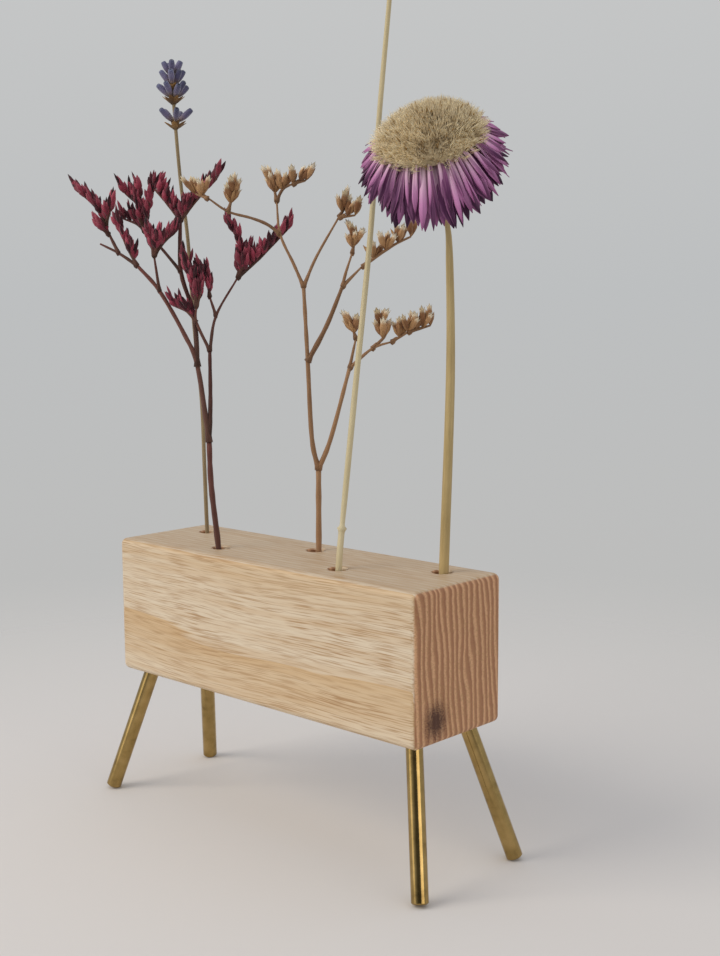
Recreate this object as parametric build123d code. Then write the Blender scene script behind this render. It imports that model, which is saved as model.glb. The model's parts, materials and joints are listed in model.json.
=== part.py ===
from build123d import *
import os
from math import asin, cos, pi, radians, sin

os.makedirs("parts", exist_ok=True)

# All sizes in millimetres, angles in degrees. The origin is on the surface that the legs stand on, under the
# middle of the block. X runs along the block, its front face looks along -Y, and Z is up.

# Wooden block
BLOCK_LENGTH = 131.0
BLOCK_DEPTH = 38.5
BLOCK_HEIGHT = 44.8
EDGE_ROUND = 2.0

# Brass rod legs, pressed into slanted sockets in the underside
LEG_DIAMETER = 5.0
LEG_HEIGHT = 42.5  # from the surface to the underside of the block
LEG_TILT = 19.5  # away from upright
LEG_HEADING = 43.0  # of the splay, turned from the block's length towards its side
LEG_INSET_END = 7.0  # from the block's end to the leg's axis, at the underside
LEG_INSET_SIDE = 7.5
LEG_SOCKET_DEPTH = 14.0
LEG_END_CHAMFER = 0.4

# Drilled stem holes, in a zigzag row along the top
HOLE_DIAMETER = 6.0
HOLE_PITCH = 26.0
HOLE_STAGGER = 8.5  # of each hole from the middle line, back and front in turn
HOLE_RIM_CHAMFER = 0.4
WOOD_UNDER_HOLE = 4.0  # between a hole's floor and the tops of the leg sockets
HOLE_SIDES = [1, -1, 1, -1, 1]  # 1 is behind the middle line, -1 in front of it

# How every stem stands in its hole
STEM_FLOOR_GAP = 0.2
STEM_WALL_GAP = 0.3
BOUQUET_HEADING = 43.0  # the flowers are spread to face this way, turned from the front to the right
TWIG_SIDES = 6
STEM_SIDES = 12
JOINT_SWELL = 1.3  # the knob where twigs part is this much thicker than the twigs
JOINT_LENGTH = 2.4
JOINT_SIDES = 7
JOINT_BELLY = 0.5

# Lavender
LAVENDER_HOLE = 0
LAVENDER_STEM_DIAMETER = 1.3
LAVENDER_TOP_DIAMETER = 1.0
LAVENDER_BUD_WIDTH = 2.1
LAVENDER_BUD_SIDES = 6
LAVENDER_BRACT_HEIGHT = 3.2
LAVENDER_BRACT_FOOT_WIDTH = 1.8
LAVENDER_BRACT_WIDTH = 3.6
LAVENDER_RING_TURN = 0.4  # each ring of buds is turned by this share of a bud's pitch from the one below
LAVENDER_LEAN = (-0.25, 0.25)  # share of the free play used to the right, at the mouth and at the foot
LAVENDER_STEM = [
    (-1, 0, 22), (-1.5, 0, 45), (-3.5, 0, 70), (-5, 0, 99), (-7, 0, 118), (-8.5, 0, 140), (-9, 0, 153),
]
# Each ring of buds: its place along the last two runs of the stem, its buds, their spread and their length
LAVENDER_RINGS = [(136.5, 5, 52, 5.4), (144.5, 8, 46, 5.2), (148.2, 7, 38, 4.8), (151.2, 5, 30, 4.4)]

# Red statice and brown statice: slender twigs that carry rows of upright florets
STATICE_STEM_DIAMETER = 2.0
STATICE_FORK_DIAMETER = 1.7
STATICE_TWIG_DIAMETER = 1.15
STATICE_END_DIAMETER = 0.7
FLORET_WIDTH = 2.1
FLORET_FOOT_WIDTH = 0.4
FLORET_SIDES = 5
FLORET_BELLY = 0.62  # share of the length where a floret is widest
FLORET_SPREAD = 20.0  # to the front and to the back in turn
FLORET_FAN = 13.0  # of the last floret of a row, away from its middle one

# Red statice. Points are millimetres to the right of, in front of and above the mouth of its hole.
RED_HOLE = 1
RED_FLORET_LENGTH = 7.0
RED_LEAN = (-0.6, 0.6)
RED_STEM = [(-3, -0.5, 20), (-3.5, -1.5, 34)]
RED_FORKS = [
    [(-3.5, -1.5, 34), (-7, -4, 58), (-11, -5, 68), (-19, -7, 82), (-26, -8, 90)],
    [(-7, -4, 58), (-8, -6, 74), (-12, -7, 88), (-12, -8, 104)],
    [(-3.5, -1.5, 34), (-3, -3, 47), (-3, -4, 63)],
]
RED_TWIGS = [
    [(-26, -8, 90), (-32, -9, 94), (-38, -10, 97)],
    [(-32, -9, 94), (-35, -10, 100), (-36, -10, 103)],
    [(-12, -7, 88), (-19, -11, 96), (-24, -13, 101)],
    [(-19, -7, 82), (-20, -4, 93)],
    [(-3, -4, 63), (-7, -4, 72), (-7, -4, 77)],
    [(-3, -4, 63), (-1, -6, 74), (6, -7, 86)],
    [(-1, -6, 74), (-3, -7, 80)],
]
# Each row of florets: the twig that carries it, the number of florets and their lean to the right
RED_ROWS = [
    ([(-36, -10, 103), (-38.5, -11, 108), (-44, -12, 113)], 7, -26),
    ([(-36, -10, 103), (-34, -8, 108)], 4, 0),
    ([(-35, -10, 100), (-37, -8, 101.5)], 3, -28),
    ([(-26, -8, 90), (-29, -7, 96), (-31, -6, 102)], 6, -4),
    ([(-24, -13, 101), (-27, -15, 103.5), (-31, -17, 105)], 4, -6),
    ([(-24, -13, 101), (-25, -13, 108), (-30, -13, 113)], 6, -8),
    ([(-24, -13, 101), (-26, -12, 107), (-25, -11.5, 113)], 6, -2),
    ([(-24, -13, 101), (-22.5, -11, 108), (-21, -10, 114)], 6, 2),
    ([(-20, -4, 93), (-21, -3, 99)], 5, -6),
    ([(-20, -4, 93), (-18.5, -3, 97.5)], 4, 0),
    ([(-20, -4, 93), (-16.5, -4, 97.5), (-13.5, -5, 100)], 5, 4),
    ([(-12, -8, 104), (-15, -9, 108), (-20, -9, 114)], 7, 8),
    ([(-12, -8, 104), (-9.5, -5, 107)], 5, 0),
    ([(-12, -8, 104), (-6, -7, 111), (0, -7, 117)], 8, 6),
    ([(-7, -4, 77), (-7.5, -3, 82), (-10, -3, 91)], 9, -6),
    ([(-7, -4, 77), (-5.5, -4, 82), (-5.5, -5, 88)], 6, -2),
    ([(-3, -7, 80), (-3.5, -7, 86)], 5, -2),
    ([(-7, -4, 72), (-10, -4, 75.5), (-13.5, -4, 77)], 4, -22),
    ([(6, -7, 86), (7.5, -7, 95), (4, -8, 102)], 9, -8),
    ([(6, -7, 86), (9.5, -6, 93)], 5, 0),
    ([(6, -7, 86), (13, -7, 92), (22, -7, 101)], 12, 6),
]

# Brown statice
BROWN_HOLE = 2
BROWN_FLORET_LENGTH = 6.2
BROWN_LEAN = (0.5, 0.5)
BROWN_STEM = [(1, 0.5, 26)]
BROWN_FORKS = [
    [(1, 0.5, 26), (-1, 1, 36), (-2, 2, 60), (-3, 3, 83)],
    [(-2, 2, 60), (4, 4, 71), (9, 5, 83)],
    [(1, 0.5, 26), (5, 1.5, 36), (11, 4, 58)],
]
BROWN_TWIGS = [
    [(9, 5, 83), (10, 5, 87), (12, 4, 93)],
    [(9, 5, 83), (15, 4, 89)],
    [(-3, 3, 83), (1, 3, 92), (8, 3, 104)],
    [(-3, 3, 83), (-6, 3, 90), (-10, 3, 99), (-11, 2, 109)],
    [(-10, 3, 99), (-14, 3, 102), (-19, 2, 104), (-26, 1, 106), (-32, 1, 110)],
    [(11, 4, 58), (13, 4, 67)],
    [(11, 4, 58), (18, 5.5, 64), (24, 4, 66)],
]
BROWN_ROWS = [
    ([(12, 4, 93), (13, 3, 98)], 7, 2),
    ([(15, 4, 89), (24, 5.5, 95), (30, 4.5, 98)], 11, 8),
    ([(8, 3, 104), (10, 2, 107)], 5, 4),
    ([(8, 3, 104), (13, 4, 104.5)], 4, 38),
    ([(-11, 2, 109), (-12, 1, 114)], 5, -6),
    ([(-11, 2, 109), (-9, 3, 112.5), (-6, 4, 114)], 5, 8),
    ([(-6, 4, 114), (-2, 4, 115)], 4, 48),
    ([(-32, 1, 110), (-36, 0, 111.5)], 5, -12),
    ([(-26, 1, 106), (-24.5, 1, 111)], 6, 4),
    ([(13, 4, 67), (12, 3, 70.5)], 5, -12),
    ([(18, 5.5, 64), (22, 4, 68), (20.5, 3, 71)], 6, 4),
    ([(24, 4, 66), (29, 6, 69)], 6, 4),
    ([(29, 6, 69), (36, 5, 71)], 7, 14),
]

# Straw: a hollow-stalked grass with one joint low on the stalk, and a slim seed head
STRAW_HOLE = 3
STRAW_DIAMETER = 2.0
STRAW_TOP_DIAMETER = 1.3
STRAW_JOINT_WIDTH = 2.8
STRAW_JOINT_LENGTH = 3.4
STRAW_LEAN = (0.1, -0.8)
STRAW_STEM = [(1.2, -1, 12), (5.7, -6, 56), (10, -12, 97), (13, -17, 134), (16, -20, 166), (19, -22.5, 200)]
SEED_HEAD_LENGTH = 32.0
SEED_LENGTH = 6.0
SEED_WIDTH = 2.0
SEED_SIDES = 4
SEED_RINGS = 9
SEEDS_IN_RING = 5
SEED_SPREAD = 24.0

# Strawflower: a nodding head with a woolly disc, a green-brown cup and two rings of drooping petals
STRAWFLOWER_HOLE = 4
STRAWFLOWER_STEM_DIAMETER = 2.9
STRAWFLOWER_NECK_DIAMETER = 1.5
STRAWFLOWER_LEAN = (0.3, -0.3)
STRAWFLOWER_STEM = [(2, 1.5, 56), (1.5, 4, 90), (0.6, 4.8, 101)]
HEAD_CENTRE = (-4.5, 10.5, 123)
HEAD_NOD = 34.0  # of the head, from upright towards the front
HEAD_ROLL = 14.0  # of the head, to the left
DISC_RADIUS = 16.0
DISC_HEIGHT = 8.5
DISC_RIM_HEIGHT = 2.0
CUP_RADIUS = 12.5
CUP_RIM_HEIGHT = 3.0
CUP_DEPTH = 10.0
CUP_FOOT_RADIUS = 2.6
PETAL_COUNT = 26
PETAL_THICKNESS = 0.5
PETAL_FOOT_WIDTH = 2.2
PETAL_WIDTH = 3.5
PETAL_TIP_WIDTH = 0.8
PETAL_REACH = 4.0  # outwards from the cup, to where the petal turns down
PETAL_FALL = 3.0  # of that first stretch
PETAL_DROOP_LENGTH = 15.5  # of the hanging stretch, at the front of the head
PETAL_DROOP = 60.0  # of that stretch, below the disc's plane, at the front
PETAL_BACK_LIFT = 22.0  # the petals at the back droop this much less
PETAL_BACK_SHORTENING = 0.45  # and their hanging stretch is shorter by this share
PETAL_FOOT_DROP = 0.4  # of the upper ring's feet, below the disc
RING_STEP = 1.6  # the lower ring of petals lies this far below the upper one
RING_STEP_DROOP = 8.0
PETAL_SEATING = 0.6  # of a petal's foot into the cup's wall, before the wall is cut out of it

# Worked out from the sizes above
block_top = LEG_HEIGHT + BLOCK_HEIGHT
leg_radius = LEG_DIAMETER / 2
hole_radius = HOLE_DIAMETER / 2
socket_rise = LEG_SOCKET_DEPTH * cos(radians(LEG_TILT)) + leg_radius * sin(radians(LEG_TILT))
hole_depth = BLOCK_HEIGHT - socket_rise - WOOD_UNDER_HOLE
hole_places = [
    ((number - (len(HOLE_SIDES) - 1) / 2) * HOLE_PITCH, side * HOLE_STAGGER)
    for number, side in enumerate(HOLE_SIDES)
]
heading = radians(BOUQUET_HEADING)
to_right = Vector(cos(heading), sin(heading), 0)
to_front = Vector(sin(heading), -cos(heading), 0)
upward = Vector(0, 0, 1)


def save(part, node):
    part.label = node
    export_step(part, f"parts/{node}.step")


def leg_line(side_x, side_y):
    """A leg's axis: its point on the block's underside, and its direction down and outwards."""
    tilt, turn = radians(LEG_TILT), radians(LEG_HEADING)
    root = Vector(
        side_x * (BLOCK_LENGTH / 2 - LEG_INSET_END),
        side_y * (BLOCK_DEPTH / 2 - LEG_INSET_SIDE),
        LEG_HEIGHT,
    )
    down = Vector(side_x * sin(tilt) * cos(turn), side_y * sin(tilt) * sin(turn), -cos(tilt))
    return root, down


def make_leg(side_x, side_y):
    """A straight rod from the top of its socket to the surface, where the lowest edge of its end stands."""
    root, down = leg_line(side_x, side_y)
    end_height = (leg_radius - LEG_END_CHAMFER) * sin(radians(LEG_TILT))
    below = (LEG_HEIGHT - end_height) / cos(radians(LEG_TILT))
    top = Plane(root - down * LEG_SOCKET_DEPTH, z_dir=down)
    rod = Solid.make_cylinder(leg_radius, LEG_SOCKET_DEPTH + below, top)
    return chamfer(rod.edges().filter_by(GeomType.CIRCLE), LEG_END_CHAMFER)


def leg_socket(side_x, side_y):
    """The slanted bore that holds a leg, run out past the block's underside."""
    root, down = leg_line(side_x, side_y)
    top = Plane(root - down * LEG_SOCKET_DEPTH, z_dir=down)
    return Solid.make_cylinder(leg_radius, LEG_SOCKET_DEPTH + LEG_DIAMETER, top)


def stem_hole(x, y):
    """A flat-bottomed blind hole with a broken rim."""
    floor = Plane((x, y, block_top - hole_depth))
    bore = Solid.make_cylinder(hole_radius, hole_depth, floor)
    rim = Plane((x, y, block_top - HOLE_RIM_CHAMFER))
    return bore + Solid.make_cone(hole_radius, hole_radius + HOLE_RIM_CHAMFER, HOLE_RIM_CHAMFER, rim)


def make_block():
    blank = Pos(0, 0, LEG_HEIGHT + BLOCK_HEIGHT / 2) * Box(BLOCK_LENGTH, BLOCK_DEPTH, BLOCK_HEIGHT)
    blank = fillet(blank.edges(), EDGE_ROUND)
    holes = [stem_hole(x, y) for x, y in hole_places]
    sockets = [leg_socket(side_x, side_y) for side_x in (-1, 1) for side_y in (-1, 1)]
    return blank - holes - sockets


def at_hole(hole, offsets):
    """The point that lies so far to the right of, in front of and above the mouth of a hole."""
    right, front, above = offsets
    x, y = hole_places[hole]
    return Vector(x, y, block_top) + to_right * right + to_front * front + upward * above


def stem_path(hole, lean, diameter, points):
    """A stem's points from its foot in the hole, through the mouth, leaning by a share of its free play."""
    play = hole_radius - diameter / 2 - STEM_WALL_GAP
    foot = (lean[1] * play, 0, STEM_FLOOR_GAP - hole_depth)
    mouth = (lean[0] * play, 0, 0)
    return [at_hole(hole, offsets) for offsets in [foot, mouth, *points]]


def flat_faced(outlines):
    """The closed solid whose faces have these outlines."""
    return Solid(Shell([Face(Wire.make_polygon(outline, close=True)) for outline in outlines]))


def ring_round(point, direction, width, sides):
    """The corners of a regular outline square to a direction."""
    across = Plane(point, z_dir=direction)
    turns = [2 * pi * number / sides for number in range(sides)]
    corners = [Vector(cos(turn), sin(turn), 0) * (width / 2) for turn in turns]
    return [across.from_local_coords(corner) for corner in corners]


def tapered_tube(points, start_width, end_width, sides):
    """A flat-sided stalk along straight runs, tapering evenly from point to point.

    The sides of a run all aim at one apex on its axis, and end on the plane that halves the turn to the next.
    """
    runs = len(points) - 1
    widths = [start_width + (end_width - start_width) * number / runs for number in range(runs + 1)]
    ways = [(points[number + 1] - points[number]).normalized() for number in range(runs)]
    rings = [ring_round(points[0], ways[0], start_width, sides)]
    for number in range(runs):
        end = points[number + 1]
        length = (end - points[number]).length
        apex_share = widths[number] / (widths[number] - widths[number + 1])
        apex = points[number] + ways[number] * (length * apex_share)
        square = ways[number] + ways[min(number + 1, runs - 1)]
        rings.append([
            corner + (apex - corner) * ((end - corner).dot(square) / (apex - corner).dot(square))
            for corner in rings[-1]
        ])
    outlines = [list(reversed(rings[0])), rings[-1]]
    for low, high in zip(rings, rings[1:]):
        for number in range(sides):
            following = (number + 1) % sides
            outlines.append([low[number], low[following], high[following], high[number]])
    return flat_faced(outlines)


def fused(solids):
    return solids[0].fuse(*solids[1:])


def tilted(lean, spread):
    """A direction near upright, leaning so many degrees to the right and to the front."""
    return upward + to_right * sin(radians(lean)) + to_front * sin(radians(spread))


def spindle(foot, direction, length, width, foot_width, sides, belly):
    """A flat-sided spindle: a narrow foot, its widest ring at a share of its length, and a point."""
    along = direction.normalized() * length
    low = ring_round(foot, direction, foot_width, sides)
    high = ring_round(foot + along * belly, direction, width, sides)
    outlines = [list(reversed(low))]
    for number in range(sides):
        following = (number + 1) % sides
        outlines.append([low[number], low[following], high[following], high[number]])
        outlines.append([high[number], high[following], foot + along])
    return flat_faced(outlines)


def point_along(points, share):
    """The point at a share of the length of a row of straight runs."""
    lengths = [(points[number + 1] - points[number]).length for number in range(len(points) - 1)]
    left = share * sum(lengths)
    for number, length in enumerate(lengths):
        if left <= length or number == len(lengths) - 1:
            return points[number] + (points[number + 1] - points[number]) * (left / length)
        left -= length


def floret_row(points, count, lean, length):
    """Upright florets evenly along a twig, to the front and to the back in turn, fanned out."""
    florets = []
    for number in range(count):
        share = (number + 1) / count
        fan = FLORET_FAN * (2 * share - 1) * (1 if lean >= 0 else -1)
        spread = FLORET_SPREAD * (1 if number % 2 else -1)
        foot = point_along(points, share)
        florets.append(spindle(
            foot, tilted(lean + fan, spread), length, FLORET_WIDTH, FLORET_FOOT_WIDTH,
            FLORET_SIDES, FLORET_BELLY,
        ))
    return florets


def make_statice(hole, lean, stem, forks, twigs, rows, floret_length):
    """The branched twigs of a spray, and its florets, cut to sit on the twigs."""
    path = stem_path(hole, lean, STATICE_STEM_DIAMETER, stem)
    solids = [tapered_tube(path, STATICE_STEM_DIAMETER, STATICE_FORK_DIAMETER, TWIG_SIDES)]
    joints = {}
    sizes = [(fork, STATICE_FORK_DIAMETER, STATICE_TWIG_DIAMETER) for fork in forks]
    sizes += [(points, STATICE_TWIG_DIAMETER, STATICE_END_DIAMETER) for points in twigs]
    sizes += [(points, STATICE_TWIG_DIAMETER, STATICE_END_DIAMETER) for points, count, row_lean in rows]
    for points, start_width, end_width in sizes:
        placed = [at_hole(hole, p) for p in points]
        solids.append(tapered_tube(placed, start_width, end_width, TWIG_SIDES))
        joints[points[0]] = max(joints.get(points[0], 0), start_width)
    for point, width in joints.items():
        knob = at_hole(hole, point) - upward * JOINT_LENGTH / 2
        solids.append(spindle(
            knob, upward, JOINT_LENGTH, width * JOINT_SWELL, STATICE_END_DIAMETER, JOINT_SIDES, JOINT_BELLY))
    branches = fused(solids)
    florets = []
    for points, count, row_lean in rows:
        florets += floret_row([at_hole(hole, p) for p in points], count, row_lean, floret_length)
    return branches, fused(florets).cut(branches)


def make_lavender():
    """A thin stem, the brown bracts under each ring, and the rings of blunt buds."""
    path = stem_path(LAVENDER_HOLE, LAVENDER_LEAN, LAVENDER_STEM_DIAMETER, LAVENDER_STEM)
    stem = tapered_tube(path, LAVENDER_STEM_DIAMETER, LAVENDER_TOP_DIAMETER, STEM_SIDES)
    low, high = path[-3], path[-1]
    half_bract = upward * (LAVENDER_BRACT_HEIGHT / 2)
    bracts, buds = [], []
    for ring, (height, count, spread, length) in enumerate(LAVENDER_RINGS):
        share = (height + block_top - low.Z) / (high.Z - low.Z)
        foot = point_along(path[-3:], share)
        bract_ends = [foot - half_bract, foot + half_bract]
        bracts.append(tapered_tube(
            bract_ends, LAVENDER_BRACT_FOOT_WIDTH, LAVENDER_BRACT_WIDTH, STEM_SIDES))
        for number in range(count):
            turn = 2 * pi * (number + ring * LAVENDER_RING_TURN) / count
            outward = to_right * cos(turn) + to_front * sin(turn)
            direction = upward * cos(radians(spread)) + outward * sin(radians(spread))
            bud_foot = foot + direction * (LAVENDER_BRACT_WIDTH / 2)
            buds.append(spindle(
                bud_foot, direction, length, LAVENDER_BUD_WIDTH, LAVENDER_BUD_WIDTH / 2,
                LAVENDER_BUD_SIDES, FLORET_BELLY,
            ))
    bracts = fused(bracts).cut(stem)
    return stem, bracts, fused(buds).cut(stem, bracts)


def make_straw():
    """A tapering stalk with one swollen joint, and the seeds round its top."""
    path = stem_path(STRAW_HOLE, STRAW_LEAN, STRAW_DIAMETER, STRAW_STEM)
    culm = tapered_tube(path, STRAW_DIAMETER, STRAW_TOP_DIAMETER, STEM_SIDES)
    joint, beyond = path[2], path[3]
    along = (beyond - joint).normalized() * (STRAW_JOINT_LENGTH / 2)
    swelling = [
        tapered_tube([joint, joint + end], STRAW_JOINT_WIDTH, STRAW_TOP_DIAMETER, STEM_SIDES)
        for end in (along, along * -1)
    ]
    stalk = fused([culm, *swelling])
    tip = path[-1]
    back = (path[-2] - tip).normalized()
    seeds = []
    for ring in range(SEED_RINGS):
        foot = tip + back * (SEED_HEAD_LENGTH * (1 - ring / SEED_RINGS))
        for number in range(SEEDS_IN_RING):
            turn = 2 * pi * (number + ring / 2) / SEEDS_IN_RING
            outward = to_right * cos(turn) + to_front * sin(turn)
            direction = outward * sin(radians(SEED_SPREAD)) - back * cos(radians(SEED_SPREAD))
            seeds.append(spindle(
                foot, direction, SEED_LENGTH, SEED_WIDTH, FLORET_FOOT_WIDTH, SEED_SIDES, FLORET_BELLY))
    return stalk, fused(seeds).cut(stalk)


def head_plane():
    """The head's own frame: its middle on the disc's underside, its Z out of the disc."""
    nod, roll = radians(HEAD_NOD), radians(HEAD_ROLL)
    axis = upward * cos(nod) * cos(roll) + to_front * sin(nod) - to_right * cos(nod) * sin(roll)
    level = axis.cross(to_right.cross(axis))
    return Plane(at_hole(STRAWFLOWER_HOLE, HEAD_CENTRE), x_dir=level, z_dir=axis)


def make_petal(turn, ring):
    """A thin tapered plate: a first stretch out of the cup, and a hanging stretch to a narrow tip.

    backward is 0 at the front, nearly 0.9 at the sides and 1 at the back.
    """
    backward = 1 - ((1 - sin(turn)) / 2) ** 3
    droop = radians(PETAL_DROOP + RING_STEP_DROOP * ring - PETAL_BACK_LIFT * backward)
    length = PETAL_DROOP_LENGTH * (1 - PETAL_BACK_SHORTENING * backward)
    foot = (CUP_RADIUS - PETAL_SEATING, -PETAL_FOOT_DROP - RING_STEP * ring)
    bend = (CUP_RADIUS + PETAL_REACH - RING_STEP * ring / 2, foot[1] - PETAL_FALL)
    hang = (cos(droop), -sin(droop))
    belly = (bend[0] + hang[0] * length / 2, bend[1] + hang[1] * length / 2)
    tip = (bend[0] + hang[0] * length, bend[1] + hang[1] * length)
    stations = [foot, bend, belly, tip]
    widths = [PETAL_FOOT_WIDTH, PETAL_WIDTH, PETAL_WIDTH, PETAL_TIP_WIDTH]
    back = Vector(cos(turn), sin(turn), 1).normalized() * -PETAL_THICKNESS
    across = Vector(-sin(turn), cos(turn), 0)

    def edge(side):
        return [
            Vector(radius * cos(turn), radius * sin(turn), height) + across * (side * width / 2)
            for (radius, height), width in zip(stations, widths)
        ]

    left, right = edge(-1), edge(1)
    under_left = [point + back for point in left]
    under_right = [point + back for point in right]
    last = len(stations) - 1
    outlines = [
        [left[0], right[0], under_right[0], under_left[0]],
        [left[last], under_left[last], under_right[last], right[last]],
    ]
    around = [left, right, under_right, under_left]
    for one, other in zip(around, around[1:] + around[:1]):
        for number in range(last):
            following = number + 1
            outlines.append([one[number], one[following], other[following], other[number]])
    return flat_faced(outlines)


def make_petals(ring, cup):
    """One ring of petals, turned half a petal from the ring above, with the cup cut out of their feet."""
    petals = [
        make_petal(2 * pi * (number + ring / 2) / PETAL_COUNT, ring) for number in range(PETAL_COUNT)
    ]
    return Compound([petal.cut(cup) for petal in petals])


def make_strawflower():
    """The stem, and in the head's frame the cup, the two rings of petals and the domed disc."""
    head = head_plane()
    rim, foot = (CUP_RADIUS, -CUP_RIM_HEIGHT), (CUP_FOOT_RADIUS, -CUP_DEPTH)
    cup_profile = Polyline((0, 0), (CUP_RADIUS, 0), rim, foot, (0, -CUP_DEPTH), close=True)
    cup = revolve(Plane.XZ * make_face(cup_profile), Axis.Z)
    crown = DISC_HEIGHT - DISC_RIM_HEIGHT
    curve = (DISC_RADIUS**2 + crown**2) / (2 * crown)
    half_arc = asin(DISC_RADIUS / curve) / 2
    dome_middle = (curve * sin(half_arc), DISC_HEIGHT - curve * (1 - cos(half_arc)))
    dome_profile = [
        Polyline((0, DISC_HEIGHT), (0, 0), (DISC_RADIUS, 0), (DISC_RADIUS, DISC_RIM_HEIGHT)),
        ThreePointArc((DISC_RADIUS, DISC_RIM_HEIGHT), dome_middle, (0, DISC_HEIGHT)),
    ]
    disc = revolve(Plane.XZ * make_face(dome_profile), Axis.Z)
    rings = [head.location * make_petals(ring, cup) for ring in range(2)]
    neck = head.from_local_coords(Vector(0, 0, -CUP_DEPTH))
    path = stem_path(STRAWFLOWER_HOLE, STRAWFLOWER_LEAN, STRAWFLOWER_STEM_DIAMETER, STRAWFLOWER_STEM)
    stem = tapered_tube([*path, neck], STRAWFLOWER_STEM_DIAMETER, STRAWFLOWER_NECK_DIAMETER, STEM_SIDES)
    return stem, head.location * cup - stem, rings, head.location * disc


save(make_block(), "block")
for side_x, end_name in ((-1, "left"), (1, "right")):
    for side_y, row_name in ((-1, "front"), (1, "back")):
        save(make_leg(side_x, side_y), f"leg_{row_name}_{end_name}")

lavender_stem, lavender_bracts, lavender_buds = make_lavender()
save(lavender_stem, "lavender_stem")
save(lavender_bracts, "lavender_bracts")
save(lavender_buds, "lavender_buds")

red_twigs, red_florets = make_statice(
    RED_HOLE, RED_LEAN, RED_STEM, RED_FORKS, RED_TWIGS, RED_ROWS, RED_FLORET_LENGTH)
save(red_twigs, "red_statice_twigs")
save(red_florets, "red_statice_florets")

brown_twigs, brown_florets = make_statice(
    BROWN_HOLE, BROWN_LEAN, BROWN_STEM, BROWN_FORKS, BROWN_TWIGS, BROWN_ROWS, BROWN_FLORET_LENGTH)
save(brown_twigs, "brown_statice_twigs")
save(brown_florets, "brown_statice_florets")

straw_stalk, straw_seeds = make_straw()
save(straw_stalk, "straw_stalk")
save(straw_seeds, "straw_seed_head")

flower_stem, flower_cup, flower_petals, flower_disc = make_strawflower()
save(flower_stem, "strawflower_stem")
save(flower_cup, "strawflower_cup")
save(flower_petals[0], "strawflower_upper_petals")
save(flower_petals[1], "strawflower_lower_petals")
save(flower_disc, "strawflower_disc")
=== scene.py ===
import json
from collections import namedtuple
from functools import partial

import bpy
import numpy as np
from mathutils import Matrix, Vector


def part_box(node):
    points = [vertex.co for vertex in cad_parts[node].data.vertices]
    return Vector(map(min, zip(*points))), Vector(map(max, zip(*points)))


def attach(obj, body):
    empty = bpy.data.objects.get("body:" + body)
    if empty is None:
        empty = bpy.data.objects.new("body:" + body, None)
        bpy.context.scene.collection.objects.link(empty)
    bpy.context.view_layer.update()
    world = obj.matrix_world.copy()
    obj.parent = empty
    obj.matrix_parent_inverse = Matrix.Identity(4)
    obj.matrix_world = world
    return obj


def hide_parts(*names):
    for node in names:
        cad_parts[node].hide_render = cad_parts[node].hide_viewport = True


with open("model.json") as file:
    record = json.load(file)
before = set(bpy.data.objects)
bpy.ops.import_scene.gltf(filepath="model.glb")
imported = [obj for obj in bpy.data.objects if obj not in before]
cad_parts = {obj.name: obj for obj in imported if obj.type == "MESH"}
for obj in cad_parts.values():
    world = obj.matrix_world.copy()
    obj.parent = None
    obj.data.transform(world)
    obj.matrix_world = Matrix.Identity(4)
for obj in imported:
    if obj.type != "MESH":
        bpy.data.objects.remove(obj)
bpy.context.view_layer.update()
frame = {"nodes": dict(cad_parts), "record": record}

# Shapes are worked out in millimetres and put into the meshes in metres.
MM = 0.001
chance = np.random.default_rng(43)  # seeded, so that every run grows the same flowers

# The bouquet faces the camera: right and front are level directions, square to each other
BOUQUET_HEADING = np.radians(43)
TO_RIGHT = np.array([np.cos(BOUQUET_HEADING), np.sin(BOUQUET_HEADING), 0])
TO_FRONT = np.array([np.sin(BOUQUET_HEADING), -np.cos(BOUQUET_HEADING), 0])
UP = np.array([0.0, 0.0, 1.0])

# Stem holes, in a zigzag row along the block
HOLE_RADIUS = 3.0
HOLE_PITCH = 26.0
HOLE_STAGGER = 8.5
STEM_WALL_GAP = 0.3
LAVENDER_HOLE = (-2, 1)
RED_HOLE = (-1, -1)
BROWN_HOLE = (0, 1)
STRAW_HOLE = (1, -1)
STRAWFLOWER_HOLE = (2, 1)
block_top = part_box("block")[1].z / MM

# Small pointed scales, on every plant
SCALE_BULGE = 0.3  # of a scale's half width
SCALE_THICKNESS = 0.16

# Where the stems run: millimetres to the right of, in front of and above the mouth of a hole
LAVENDER_STEM = [
    (-1, 0, 22), (-1.5, 0, 45), (-3.5, 0, 70), (-5, 0, 99), (-7, 0, 118), (-8.5, 0, 140), (-9, 0, 153),
]
# Each ring of buds: its height, its buds, their spread and their length
LAVENDER_RINGS = [(136.5, 5, 52, 5.4), (144.5, 8, 46, 5.2), (148.2, 7, 38, 4.8), (151.2, 5, 30, 4.4)]
STRAW_STEM = [(1.2, -1, 12), (5.7, -6, 56), (10, -12, 97), (13, -17, 134), (16, -20, 166), (19, -22.5, 200)]
STRAWFLOWER_STEM = [(2, 1.5, 56), (1.5, 4, 90), (0.6, 4.8, 101)]
RED_STEM = [(-3, -0.5, 20), (-3.5, -1.5, 34)]
RED_FORKS = [
    [(-3.5, -1.5, 34), (-7, -4, 58), (-11, -5, 68), (-19, -7, 82), (-26, -8, 90)],
    [(-7, -4, 58), (-8, -6, 74), (-12, -7, 88), (-12, -8, 104)],
    [(-3.5, -1.5, 34), (-3, -3, 47), (-3, -4, 63)],
]
RED_TWIGS = [
    [(-26, -8, 90), (-32, -9, 94), (-38, -10, 97)],
    [(-32, -9, 94), (-35, -10, 100), (-36, -10, 103)],
    [(-12, -7, 88), (-19, -11, 96), (-24, -13, 101)],
    [(-19, -7, 82), (-20, -4, 93)],
    [(-3, -4, 63), (-7, -4, 72), (-7, -4, 77)],
    [(-3, -4, 63), (-1, -6, 74), (6, -7, 86)],
    [(-1, -6, 74), (-3, -7, 80)],
]
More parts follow.
